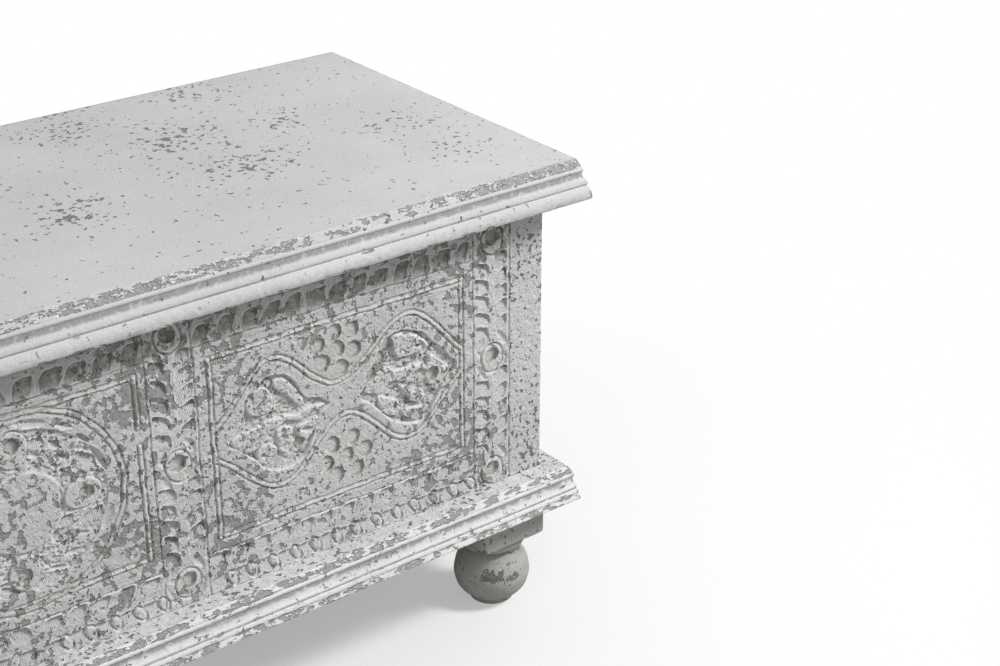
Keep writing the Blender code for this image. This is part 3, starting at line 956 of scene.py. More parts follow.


@dataclass
class Relief:
    """A board's carved face: depth at each point of a grid, 0 on the face and negative below."""

    u: Array  # columns' places along the board, mm from its middle
    v: Array  # rows' heights over the base moulding, mm
    at_u: Array  # place along the board of each point, with the wander of a hand-held tool
    at_v: Array  # height of each point, with the same wander
    depth: Array  # depth of each point, mm
    marks: dict[str, Array]  # further values at each point, by name
    rng: Rng  # source of the carver's unevenness

    @classmethod
    def blank(cls, u: Array, v: Array, seed: int) -> "Relief":
        """An uncut board.

        Args:
            u: columns' places, mm.
            v: rows' heights, mm.
            seed: start of the random draws.

        Returns:
            The board, with each point's wander already settled.
        """
        rng = np.random.default_rng(seed)
        along, up = np.meshgrid(u, v)
        at_u = along + 0.7 * drift(along, up, 13.0, rng) + 0.38 * drift(along, up, 3.6, rng)
        at_v = up + 0.7 * drift(along, up, 13.0, rng) + 0.38 * drift(along, up, 3.6, rng)
        marks = {name: np.zeros(along.shape) for name in MARKS}
        return cls(u, v, at_u, at_v, np.zeros(along.shape), marks, rng)

    def mirrored(self) -> "Relief":
        """The same board seen with u counted the other way; cuts in it are cuts in this one.

        Returns:
            The board seen that way.
        """
        marks = {name: values[:, ::-1] for name, values in self.marks.items()}
        flipped = (-self.at_u[:, ::-1], self.at_v[:, ::-1], self.depth[:, ::-1])
        return Relief(-self.u[::-1], self.v, *flipped, marks, self.rng)

    def window(self, low_u: float, high_u: float, low_v: float, high_v: float) -> Window:
        """Rows and columns between two corners."""
        cols = slice(*np.searchsorted(self.u, (low_u, high_u)))
        return slice(*np.searchsorted(self.v, (low_v, high_v))), cols

    def near(self, u: float, v: float, reach: float) -> Window:
        """Rows and columns within a square round a point."""
        return self.window(u - reach, u + reach, v - reach, v + reach)

    def turned(self, at: Window, u: float, v: float, angle: float) -> tuple[Array, Array]:
        """Places along and across a tool's path through a point.

        Args:
            at: rows and columns to look at.
            u: the point's place along the board, mm.
            v: its height, mm.
            angle: direction of the path, degrees.

        Returns:
            Places along the path, and places across it.
        """
        away_u, away_v = self.at_u[at] - u, self.at_v[at] - v
        c, s = math.cos(math.radians(angle)), math.sin(math.radians(angle))
        return c * away_u + s * away_v, c * away_v - s * away_u

    def sink(self, at: Window, depth: Array) -> None:
        """Cut down to a depth where it is lower than the board already is."""
        self.depth[at] = np.minimum(self.depth[at], -depth)

    def wear(self, at: Window, share: Array | float) -> None:
        """Mark a place as worn at least so much."""
        self.marks["worn"][at] = np.maximum(self.marks["worn"][at], share)

    def soil(self, at: Window, share: Array) -> None:
        """Mark a place as holding at least so much grime."""
        self.marks["hollow"][at] = np.maximum(self.marks["hollow"][at], share)

    def vary(self, size: float, share: float = 0.06) -> float:
        """A size with a hand's unevenness."""
        return size * (1 + share * self.rng.uniform(-1, 1))

    def double_line(self, at: Window, away: Array) -> None:
        """Two V grooves with a rounded ridge between them.

        A groove's depth falls evenly to its sides; the ridge falls with the square of the distance.

        Args:
            at: rows and columns to cut.
            away: distance of each point from the middle of the pair, mm.
        """
        side = np.abs(away)
        from_groove = np.abs(side - GROOVE_OUT)
        self.sink(at, GROOVE_HALF * (1 - from_groove / GROOVE_HALF))
        ridge = np.maximum(self.depth[at], 0.5 - 0.6 * (side / RIDGE_HALF) ** 2)
        self.depth[at] = np.where(side < RIDGE_HALF, ridge, self.depth[at])
        self.wear(at, 0.25 * eased(1.4 - np.abs(side - 3.2) / 1.6) * (side > 1.6))
        self.soil(at, 1.7 * eased(1.25 - from_groove / 1.1))

    def straight(self, start: Pair, end: Pair) -> None:
        """A double line between two points, by the distance from the segment.

        Args:
            start: the line's first point, mm.
            end: its last point, mm.
        """
        low, high = np.minimum(start, end) - LINE_ROOM, np.maximum(start, end) + LINE_ROOM
        at = self.window(low[0], high[0], low[1], high[1])
        run = np.subtract(end, start)
        away_u, away_v = self.at_u[at] - start[0], self.at_v[at] - start[1]
        along = np.clip((away_u * run[0] + away_v * run[1]) / (run @ run), 0, 1)
        self.double_line(at, np.hypot(away_u - along * run[0], away_v - along * run[1]))

    def wave(self, turns: Array, low: float, high: float) -> None:
        """A double line along a course.

        The distance from it is the height over it, times the cosine of its slope.

        Args:
            turns: turning points of the course, mm.
            low: where the line starts along u.
            high: where it ends.
        """
        heights = turns[:, 1]
        at = self.window(low, high, heights.min() - LINE_ROOM, heights.max() + LINE_ROOM)
        height, slope = course(turns, self.at_u[at])
        self.double_line(at, (self.at_v[at] - height) / np.hypot(1.0, slope))

    def bowl(self, u: float, v: float, radius: float, depth: float) -> None:
        """A round hollow with steep sides, a flat floor and grime under its rim.

        Its depth goes with the root of 2.6 (1 - (r / radius)^2), held at 1.

        Args:
            u: middle along the board, mm.
            v: middle up the board, mm.
            radius: radius at the face, mm.
            depth: depth in the middle, mm.
        """
        at = self.near(u, v, radius + 5)
        away = np.hypot(*self.turned(at, u, v, 0.0))
        self.sink(at, depth * np.sqrt(np.clip(2.6 * (1 - (away / radius) ** 2), 0, 1)))
        self.soil(at, 3.0 * eased(1.3 - np.abs(away - radius + 0.6) / 1.2))
        self.wear(at, 0.35 * eased(1 - np.abs(away - radius - 0.6) / 2.0))
        self.marks["worn"][at] *= away > radius - 1.0

    def eye(self, u: float, v: float, radius: float, ring: float, point: float) -> None:
        """A bowl in a petal that stands as high as the face, with a groove round it.

        The petal's outline is a circle drawn out to a point: its radius grows with the fourth
        power of half of 1 + cos of the angle from the point.

        Args:
            u: middle along the board, mm.
            v: middle up the board, mm.
            radius: radius of the bowl, mm.
            ring: radius of the petal away from its point, mm.
            point: direction of the point, degrees.
        """
        at = self.near(u, v, 1.6 * ring + 5)
        along, across = self.turned(at, u, v, point)
        away = np.hypot(along, across)
        ring = ring * (1 + 0.5 * ((1 + along / np.maximum(away, 1e-6)) / 2) ** 4)
        self.depth[at] = np.where(away < ring, np.maximum(self.depth[at], -0.2), self.depth[at])
        self.marks["toolmark"][at] *= away > ring
        self.sink(at, 2.4 * (1 - ((away - ring - 0.8) / 1.3) ** 2))
        self.wear(at, 0.25 * (away < ring))
        self.bowl(u, v, radius, 3.6)

    def knob(self, u: float, v: float, size: Pair, lean: float) -> None:
        """A rounded tab left standing inside a narrow groove.

        Its top falls by the fourth power of the share r of its half width and half height.

        Args:
            u: middle along the board, mm.
            v: middle up the board, mm.
            size: width and height of the tab, mm.
            lean: shift along the board for each mm of height.
        """
        at = self.near(u, v, max(size))
        along, up = self.turned(at, u, v, self.rng.uniform(-6, 6))
        away = np.hypot((along - lean * up) / (size[0] / 2), up / (size[1] / 2))
        self.sink(at, 2.9 * (1 - ((away - 1.17) / 0.3) ** 2))
        raised = np.maximum(self.depth[at], -0.2 - 1.1 * away**4)
        self.depth[at] = np.where(away < 1, raised, self.depth[at])
        self.marks["toolmark"][at] *= away > 1
        self.marks["worn"][at] *= np.where(away < 1.4, 0.5, 1.0)

    def notch(
        self, u: float, v: float, size: Pair, lean: float, tilt: float, depth: float
    ) -> None:
        """A gouge cut with a flat floor between steep walls, deepest along its upper edge.

        With a and b the shares of the half width and half height, after a shear by lean and tilt,
        the walls go with the root of 1 - a^4 - b^4 and the floor falls by 1 + 0.8 b.

        Args:
            u: middle along the board, mm.
            v: middle up the board, mm.
            size: width and height, mm.
            lean: shift along the board for each mm of height.
            tilt: rise for each mm along the board.
            depth: depth in the middle, mm.
        """
        width, height = (self.vary(part, 0.1) for part in size)
        at = self.near(u, v, max(size))
        along, up = self.turned(at, u, v, self.rng.uniform(-5, 5))
        a = (along - lean * up) / (width / 2)
        b = (up - tilt * along) / (height / 2)
        room = 1 - a**4 - b**4
        self.sink(at, depth * (1 + 0.8 * b) * np.sqrt(np.clip(2.4 * room, 0, 1)))
        inside = room > 0.15
        for name, value in (("chatter", along), ("toolmark", 1.0), ("worn", 0.12)):
            self.marks[name][at] = np.where(inside, value, self.marks[name][at])
        self.wear(at, 0.5 * eased(1 - np.abs(room + 0.35) / 0.6))

    def leaf_cut(self, u: float, v: float, size: Pair, angle: float, depth: float) -> None:
        """A pointed gouge cut with steep sides.

        Its half width goes with 1 - a^2, with a the share of its half length, and its depth with
        the root of the share of that half width which is left.

        Args:
            u: middle along the board, mm.
            v: middle up the board, mm.
            size: length and width, mm.
            angle: its direction, degrees.
            depth: depth in the middle, mm.
        """
        at = self.near(u, v, size[0] * 0.6)
        along, across = self.turned(at, u, v, angle)
        span = 1 - (along / (size[0] / 2)) ** 2
        room = span - np.abs(across) / (size[1] / 2)
        self.sink(at, 0.8 * depth * np.sqrt(np.clip(room, 0, 1)))
        self.wear(at, 0.5 * eased(1 - np.abs(room + 0.3) / 0.7) * (span > -0.2))

    def outlined(self, corners: Array) -> tuple[Window, Array, Array]:
        """The part of the board round an outline.

        Args:
            corners: outline's points, mm.

        Returns:
            Rows and columns, the distance in from the outline, and a crust of two sizes of lumps.
        """
        loop = rounded_loop(corners)
        low, high = loop.min(0) - 4, loop.max(0) + 4
        at = self.window(low[0], high[0], low[1], high[1])
        inside = depth_inside(loop, self.at_u[at], self.at_v[at])
        spot = np.meshgrid(self.u[at[1]], self.v[at[0]])
        crust = 0.4 * drift(*spot, 6.5, self.rng) + 0.4 * drift(*spot, 2.4, self.rng)
        return at, inside, crust - 1.2 * pits(*spot, 4.0, 0.5, self.rng)

    def recess(self, corners: Array, depth: float) -> None:
        """A sunk ground with a steep rim, reached over 1.1 mm by a smooth step, and a rough floor.

        Args:
            corners: outline's points, mm.
            depth: depth of the floor, mm.
        """
        at, inside, crust = self.outlined(corners)
        self.sink(at, np.maximum(depth - 1.6 * crust, 0.6) * eased(inside / 1.1))
        self.wear(at, 0.5 * eased(1 - np.abs(inside + 1.2) / 2.6))
        self.marks["worn"][at] = np.where(inside > 0, 0.2, self.marks["worn"][at])

    def hack(self, corners: Array, count: int) -> None:
        """Short V cuts in every direction, strewn over the inside of an outline.

        Args:
            corners: outline's points, mm.
            count: cuts tried; those whose middle falls outside are left out.
        """
        low, high = corners.min(0), corners.max(0)
        spots = self.rng.uniform(low, high, (count, 2))
        inside = depth_inside(corners, spots[:, :1], spots[:, 1:])[:, 0]
        for (u, v), deep in zip(spots, inside):
            if deep > 3.0:
                size = (self.rng.uniform(6, 13), self.rng.uniform(2.6, 4.6))
                self.leaf_cut(u, v, size, self.rng.uniform(0, 180), self.rng.uniform(2.6, 5.0))

    def lobe(self, corners: Array, crown: float) -> None:
        """A lobe of foliage left standing in a sunk ground, crusted, and rounded over 1.3 mm.

        Args:
            corners: outline's points, mm.
            crown: depth of its top below the face, mm.
        """
        at, inside, crust = self.outlined(corners)
        level = np.minimum(0.8 * crust - crown - 1.5 * (1 - eased(inside / 1.3)), -0.05)
        raised = np.maximum(self.depth[at], level)
        self.depth[at] = np.where(inside > 0, raised, self.depth[at])
        self.wear(at, 0.26 * (inside > -0.5))


@dataclass(frozen=True)
class UprightBand:
    """Two columns of slanted notches with eyes between them, up the whole board."""

    columns: Pair  # middles of the two columns, mm
    width: float  # width of a notch, mm
    eye: float  # place of the eyes along the board, mm
    eye_heights: Triple  # heights of the eyes, mm
    edges: Pair  # lines that bound the band, mm
    low: float = -1.0  # height where the band starts, mm
    high: float = 276.0  # height where it ends, mm
    pitch: float = 15.6  # about how far apart the notches of a column are, mm
    room: float = 26.0  # from an eye to the nearest notch, mm

    def cut(self, board: Relief) -> None:
        """Cut the band.

        Args:
            board: the board, with u counted outward.
        """
        at = board.window(*self.edges, self.low, self.high)
        board.wear(at, 0.12)
        for low, high in zip(self.eye_heights, self.eye_heights[1:]):
            count = round((high - low - 2 * self.room) / self.pitch) + 1
            for v in np.linspace(low + self.room, high - self.room, count):
                for column, tilt in zip(self.columns, (-0.34, 0.34)):
                    height = v + board.rng.uniform(-1.3, 1.3) + 6 * tilt
                    board.notch(column, height, (self.width, 13.0), 0.0, tilt, 2.5)
        for v in self.eye_heights:
            for side in (-1, 1):
                for turn in (-1, 1):
                    spot = (self.eye + side * 12.0, v + turn * 14.5)
                    board.leaf_cut(*spot, (21.0, 7.5), -58 * side * turn, 2.8)
                    spot = (self.eye + side * 14.5, v + turn * 4.5)
                    board.leaf_cut(*spot, (12.0, 5.0), 50 * side * turn, 1.8)
            board.eye(self.eye, v, 7.4, 11.0, -80.0)
        for edge in self.edges:
            at = board.window(edge - 4, edge + 4, self.low, self.high)
            away = np.abs(board.at_u[at] - edge)
            board.sink(at, 1.6 * (1 - away / 1.2))
            board.wear(at, 0.4 * eased(1 - away / 4))


@dataclass(frozen=True)
class LevelBand:
    """Two rows of notches, parted by leaning tabs, either side of a plain stem."""

    left: float  # where the band starts along the board, mm
    right: float  # where it ends, mm
    rows: tuple[Pair, Pair]  # middle and height of each row, mm
    line: float  # height of the line that bounds the band, mm
    knobbed: bool  # whether the first row's tabs end in rounded knobs
    pitch: float = 22.2  # about how far apart the notches of a row are, mm
    tab: float = 6.5  # width of the tab between two notches, mm

    def cut(self, board: Relief) -> None:
        """Cut the rows, a slit in each tab, and the line that bounds the band.

        Args:
            board: the board, with u counted outward.
        """
        count = round((self.right - self.left) / self.pitch)
        pitch = (self.right - self.left) / count
        at = board.window(self.left, self.right, *sorted((self.line, self.rows[0][0])))
        board.wear(at, 0.12)
        for (row, height), lean in zip(self.rows, (-0.3, 0.3)):
            for k in range(count):
                u = self.left + (k + 0.5) * pitch + board.rng.uniform(-1.0, 1.0)
                board.notch(u, row, (pitch - self.tab, height), lean, 0.0, 2.7)
                if self.knobbed and lean < 0:
                    board.knob(u + pitch / 2, row - 0.6, (8.4, 13.0), lean)
                    continue
                for side in (-2.2, 2.2):
                    board.leaf_cut(u + pitch / 2 + side, row, (10.5, 3.2), 90 - 80 * lean, 1.5)
        at = board.window(self.left - 4, self.right + 4, self.line - 5, self.line + 5)
        away = np.abs(board.at_v[at] - self.line)
        board.sink(at, 1.7 * (1 - away / 1.3))
        board.wear(at, 0.66 * eased(1 - away / 5))


@dataclass
class CarvedFront:
    """Front board, whose face is carved as one height field and made in slabs side by side."""

    step: float = 0.74  # spacing of the carved grid, mm
    half_width: float = 513.0  # half of the board's width, mm
    below: float = 35.0  # how far the board runs down behind the base moulding, mm
    above: float = 287.7  # height of its top over the base moulding, mm
    face: float = FRONT_FACE  # the uncarved face's y, m
    back: float = -0.148996  # the inner face's y, m
    painted: float = 0.0008  # how far short of the inner face the paint on the edges ends, m
    base_top: float = BASE_TOP  # height of the base moulding's top, m
    # Edges of the slabs, mm from the middle
    cuts: tuple[float, ...] = (-513.0, -430.0, -294.0, -158.0, 0.0, 158.0, 294.0, 430.0, 513.0)
    stile: float = 37.0  # width of the plain stile at each end, mm
    # Distances from the middle of the panels' worn corners, mm
    worn_columns: Triple = (108.0, 170.0, 428.0)
    worn_rows: Pair = (66.0, 212.0)  # heights of those corners, mm
    worn_reach: float = 34.0  # how far from a corner its wear reaches, mm
    middle_half: Pair = (122.0, 82.0)  # half width and half height of the worn middle panel, mm
    middle_height: float = 140.0  # height of its middle, mm
    top_band: float = 220.0  # height where the top band starts, mm
    seed: int = 41

    def carve(self) -> Relief:
        """Cut the whole design into a blank board.

        Returns:
            The carved board.
        """
        columns = round(2 * self.half_width / self.step) + 1
        u = np.linspace(-self.half_width, self.half_width, columns)
        start = -0.8
        carved = np.linspace(start, self.above, round((self.above - start) / self.step) + 1)
        behind_base = np.linspace(-self.below, -2.0, 6)
        board = Relief.blank(u, np.concatenate((behind_base, carved)), self.seed)
        for half in (board, board.mirrored()):
            self.side_panel(half)
            self.bands(half)
        self.round_panel(board)
        self.settle(board)
        return board

    def bands(self, half: Relief) -> None:
        """The upright and level bands of one half.

        Args:
            half: the board, with u counted outward.
        """
        low_rows, low_line = ((9.2, 12.6), (31.4, 13.0)), 39.6
        high_rows, high_line = ((265.0, 15.0), (244.2, 17.5)), 234.2
        for left, right in ((154.5, 432.5), (1.0, 112.0)):
            LevelBand(left, right, low_rows, low_line, True).cut(half)
            LevelBand(left, right, high_rows, high_line, False).cut(half)
        UprightBand((444.2, 465.0), 15.4, 455.2, (16.6, 134.8, 250.4), (434.4, 475.2)).cut(half)
        UprightBand((122.4, 146.0), 15.4, 134.2, (23.6, 136.2, 252.4), (112.4, 155.0)).cut(half)

    def side_panel(self, half: Relief) -> None:
        """The long panel of one half: frame, two wavy lines, sunk ovals and clusters of bowls.

        Args:
            half: the board, with u counted outward.
        """
        left, right, low, high = 168.4, 420.8, 52.3, 220.0
        half.wear(half.window(156, 432, 41, 234), 0.30)
        corners = ((left, low), (right, low), (right, high), (left, high))
        for u, v in corners:
            half.wear(half.near(u, v, 62.0), 0.62)
        for start, end in zip(corners, corners[1:] + corners[:1]):
            half.straight(start, end)
        self.ovals(half)
        upper = [(158.0, 150.0), (225.6, 202.4), (289.0, 161.2), (363.1, 203.8), (438.0, 146.0)]
        lower = [(160.0, 127.0), (229.7, 81.1), (295.7, 127.6), (363.1, 82.5), (434.0, 134.0)]
        half.wave(np.array(upper), left, right)
        half.wave(np.array(lower), left, right)
        bowls = (
            [(290.5, 191.6), (271.8, 200.1), (288.0, 207.9), (305.4, 205.3), (307.0, 187.1)]
            + [(294.4, 173.6), (275.4, 182.2), (295.5, 86.5), (281.7, 102.1), (302.6, 102.7)]
            + [(315.0, 86.5), (305.4, 70.3), (284.2, 70.3), (275.0, 85.2)]
        )
        for u, v in bowls:
            half.bowl(u, v, half.vary(7.7), 2.5)

    def ovals(self, half: Relief) -> None:
        """Sunk foliage inside the two ovals of the wavy lines: ground, lobes, V cuts and bowls.

        Args:
            half: the board, with u counted outward.
        """
        inner = [(182, 137), (193, 151), (198, 162), (199, 171), (205, 179), (219, 187), (232, 186)]
        inner += [(241, 182), (250, 172), (255, 161), (262, 154), (280, 144), (272, 137), (266, 123)]
        inner += [(258, 106), (250, 99), (234, 95), (215, 101), (206, 113), (190, 128)]
        outer = [(316, 147), (326, 166), (337, 184), (356, 190), (379, 182), (388, 171), (396, 160)]
        outer += [(416, 139), (400, 121), (391, 109), (382, 96), (366, 94), (344, 105), (329, 122)]
        outer += [(312, 137)]
        for corners in (inner, outer):
            half.recess(np.array(corners, float), 3.8)
        lobes = (
            (0.3, [(184, 139), (200, 143), (212, 144), (221, 142), (219, 130), (207, 123), (194, 124)]),
            (0.4, [(208, 122), (215, 125), (222, 123), (228, 117), (226, 109), (216, 106), (208, 110)]),
            (0.6, [(200, 166), (204, 175), (216, 179), (224, 172), (227, 162), (222, 153), (206, 155)]),
            (0.3, [(215, 146), (234, 147), (247, 143), (259, 146), (279, 143)]
             + [(262, 139), (251, 135), (238, 140), (222, 136)]),
            (0.7, [(228, 181), (238, 180), (248, 168), (256, 156), (252, 149), (240, 163), (229, 174)]),
            (0.8, [(228, 134), (240, 134), (244, 126), (242, 114), (235, 109), (229, 117)]),
            (0.6, [(247, 131), (259, 133), (270, 134), (266, 123), (258, 115), (249, 121)]),
            (0.4, [(346, 184), (357, 187), (371, 182), (385, 168), (378, 162), (354, 163), (347, 173)]),
            (0.3, [(320, 152), (340, 158), (351, 153), (378, 150), (384, 142)]
             + [(372, 145), (362, 137), (345, 143), (334, 134), (318, 140)]),
            (0.6, [(355, 134), (368, 131), (380, 121), (377, 113), (364, 117)]),
            (0.7, [(332, 131), (345, 127), (353, 118), (347, 108), (335, 117)]),
            (0.9, [(355, 110), (368, 110), (381, 107), (378, 98), (364, 97)]),
            (0.5, [(387, 156), (398, 148), (407, 139), (402, 127), (392, 119), (383, 135)]),
        )
        for crown, corners in lobes:
            half.lobe(np.array(corners, float), crown)
        for corners in (inner, outer):
            half.hack(np.array(corners, float), 34)
        for u, v, length, width, angle in (
            (234.5, 158.0, 29.0, 8.0, -49), (227.0, 149.0, 16.0, 6.5, -31),
            (270.0, 149.0, 24.0, 6.0, -28), (263.0, 137.0, 20.0, 4.6, 5),
            (257.6, 125.3, 15.0, 5.4, -10), (321.0, 136.6, 17.0, 5.2, -4),
            (347.7, 132.0, 23.0, 6.5, -46), (369.8, 130.0, 26.0, 7.4, -31),
            (369.0, 155.9, 15.0, 7.6, -10), (397.0, 157.0, 54.0, 7.0, -48),
        ):
            half.leaf_cut(u, v, (length, width), angle, 6.0)
        for u, v, radius in (
            (341.8, 180.1, 6.2), (334.0, 168.2, 6.2),
            (324.6, 156.6, 5.6), (389.6, 136.8, 7.0),
            (250.0, 114.5, 5.6),
        ):
            half.bowl(u, v, radius, 5.0)

    def round_panel(self, board: Relief) -> None:
        """The middle panel: square frame, round double line, and a wreath of leaves and eyes.

        Args:
            board: the board.
        """
        side, low, high, middle = 102.6, 56.0, 224.4, 139.0
        board.wear(board.window(-112, 112, 41, 234), 0.38)
        corners = ((-side, low), (side, low), (side, high), (-side, high))
        for u, v in corners:
            board.wear(board.near(u, v, 44.0), 0.64)
        for v in (low, high):
            board.straight((-side, v), (side, v))
        for u in (-side, side):
            board.straight((u, low), (u, middle + 24.0))
            board.straight((u, middle + 41.0), (u, high))
        turn = np.radians(np.arange(0, 360, 15.0))
        ring = np.stack((np.cos(turn), np.sin(turn)), 1)
        at = board.near(0.0, middle, 95.0)
        away = np.hypot(*board.turned(at, 0.0, middle, 0.0))
        board.double_line(at, away - 86.2)
        board.recess(72.0 * ring + (0.0, middle), 1.6)
        flat = np.maximum(board.depth[at], -0.15 - 1.6 * eased((away - 34.0) / 2.0))
        board.depth[at] = np.where(away < 36.0, flat, board.depth[at])
        board.wear(at, 0.6 * (away < 35) + 0.26 * ((away > 35) & (away < 76)))
        for half in (board, board.mirrored()):
            self.spray(half)
        eyes = ((54.0, 139.5, 180.0), (-54.0, 139.5, 0.0), (-2.0, 198.5, -90.0), (-4.0, 83.5, 90.0))
        for u, v, point in eyes:
            board.eye(u, v, 6.4, 12.5, point)

    @staticmethod
    def spray(half: Relief) -> None:
        """Half of the wreath: striated scoops, and the V cuts that part its leaves.

        Args:
            half: the board, with u counted outward.
        """
        for u, v, width, height, tilt in (
            (56.4, 165.0, 20.0, 17.0, -0.5), (39.2, 156.0, 10.0, 19.0, 0.2),
            (56.8, 115.5, 20.0, 13.0, 0.3), (35.0, 118.0, 12.0, 13.0, 0.2),
            (17.4, 194.3, 14.0, 10.0, -0.1), (14.5, 72.0, 19.0, 9.0, 0.25),
        ):
            half.notch(u, v, (width, height), 0.0, tilt, 3.2)
        for u, v, length, width, angle, depth in (
            (14.1, 214.3, 31.0, 6.5, -14, 2.6), (32.2, 188.8, 15.0, 6.5, -55, 4.6),
            (40.5, 203.5, 16.0, 4.5, -28, 3.4), (55.7, 187.0, 16.0, 5.5, -45, 4.8),
            (66.7, 166.1, 30.0, 7.0, -65, 4.2), (45.4, 181.0, 10.0, 5.0, 60, 4.6),
            (17.0, 184.8, 13.0, 4.6, -20, 4.4), (36.0, 176.2, 15.0, 5.0, -22, 4.6),
            (33.8, 133.0, 42.0, 4.0, 95, 3.2), (25.6, 110.0, 13.0, 7.5, 60, 5.2),
            (30.0, 100.0, 11.0, 5.0, 45, 4.2), (38.0, 90.0, 18.0, 6.0, 8, 5.2),
            (69.6, 110.6, 24.0, 8.0, 65, 3.0), (56.4, 89.0, 11.0, 5.0, 45, 3.0),
            (23.3, 80.2, 18.0, 5.4, -15, 4.8), (14.5, 87.5, 11.0, 6.0, -60, 4.4),
            (47.6, 103.3, 18.0, 5.0, -10, 4.0), (24.0, 171.0, 14.0, 3.6, -40, 2.6),
        ):
            half.leaf_cut(u, v, (length, 1.15 * width), angle, 1.25 * depth)

    def settle(self, board: Relief) -> None:
        """Ease the board's ends, add slow unevenness, and mark what is hollow, worn or flecked.

        A point is proud by its height over the mean of the points round it; what is proud is a
        crest, painted paler partly as a highlight, and what lies deep or below its neighbours is
        hollow, darkened partly as soiling and partly as painted shade. The top band is darkened more
        towards the board's top, as the painted shadow of the lid's lip.

        Args:
            board: the carved board.
        """
        along, up = spot = np.meshgrid(board.u, board.v)
        rng, marks = board.rng, board.marks
        board.depth -= 0.5 * pits(*spot, 8.0, 0.45, rng) * (board.depth > -0.3)
        shape = board.depth.copy()
        board.depth += 0.22 * drift(*spot, 60.0, rng) - 0.22
        board.depth += 0.16 * drift(*spot, 6.0, rng) + 0.09 * drift(*spot, 2.2, rng)
        outside = np.abs(along) - self.half_width
        board.depth -= 0.22 * np.clip(outside + 2.2, 0, None) ** 2
        proud = shape - blurred(shape, 3)
        # crest: proud points, painted paler in the finish, partly as a highlight
        crest_highlight = np.clip((proud - 0.15) / 0.7, 0, 1)
        stile = 0.5 * (outside > -self.stile)
        beside = np.min([np.abs(np.abs(along) - corner) for corner in self.worn_columns], 0)
        beyond = np.min([np.abs(up - corner) for corner in self.worn_rows], 0)
        corners = eased(1.3 - np.hypot(beside, beyond) / self.worn_reach)
        half_width, half_height = self.middle_half
        middle = eased((half_width - np.abs(along)) / 10)
        middle *= eased((half_height - np.abs(up - self.middle_height)) / 10)
        top_band = eased((up - self.top_band) / 16) * (outside < -self.stile)
        marks["crest_highlight"] = crest_highlight
        marks["worn"] *= 1 - 0.7 * crest_highlight
        marks["worn"] += 0.3 * eased((outside + 5) / 5) - 0.7 * stile + 0.42 * corners
        marks["worn"] += 0.2 * middle + 0.16 * top_band
        # painted shade and soiling in what lies deep or below its neighbours
        marks["hollow"] += np.clip((-shape - 3.0) / 3.0, 0, 0.8) + np.clip(-proud / 3.4, 0, 0.5)
        # painted shadow of the lid's lip, darker towards the board's top
        marks["hollow"] += 0.8 * eased((up - self.top_band - 5) / 45)
        # painted shade in the top band's cuts, in the lip's shadow
        marks["hollow"] += 2.2 * top_band * np.clip((-shape - 0.5) / 1.5, 0, 1)
        flecks = 0.55 + stile + 0.4 * drift(*spot, 45.0, rng)
        marks["fleck"] = flecks * eased((shape + 2.6) / 1.6)

    def build(self, paint: Material) -> None:
        """Make the slabs: the carved grid in front, walls back from its edge, and a flat inner face.

        Args:
            paint: the front's finish.
        """
        board = self.carve()
        for number, (start, end) in enumerate(zip(self.cuts, self.cuts[1:]), 1):
            first, last = (int(np.abs(board.u - edge).argmin()) for edge in (start, end))
            cols = slice(first, last + 1)
            along, up = np.meshgrid(board.u[cols] * MM, self.base_top + board.v * MM)
            face = placed(along, self.face - board.depth[:, cols] * MM, up)
            skin = Skin()
            marks = {name: values[:, cols] for name, values in board.marks.items()}
            index = skin.grid(face, **marks)
            edge = Skin.border(index)
            rim = face.reshape(-1, 3)[edge].copy()
            rim[:, 1] = self.back - self.painted
            rim_index = skin.take(rim, worn=0.2)
            skin.join(np.stack((rim_index, edge)), around=True)
            rim[:, 1] = self.back
            inner = skin.take(rim, bare=1.0)
            skin.join(np.stack((inner, rim_index)), around=True)
            middle = (along.mean(), self.back, up.mean())
            skin.fan(inner, middle, backward=True, bare=1.0)
            skin.piece(f"front_board_{number}", paint, Body.CHEST, Slot.PAINT, "front_panel")


# Mouldings


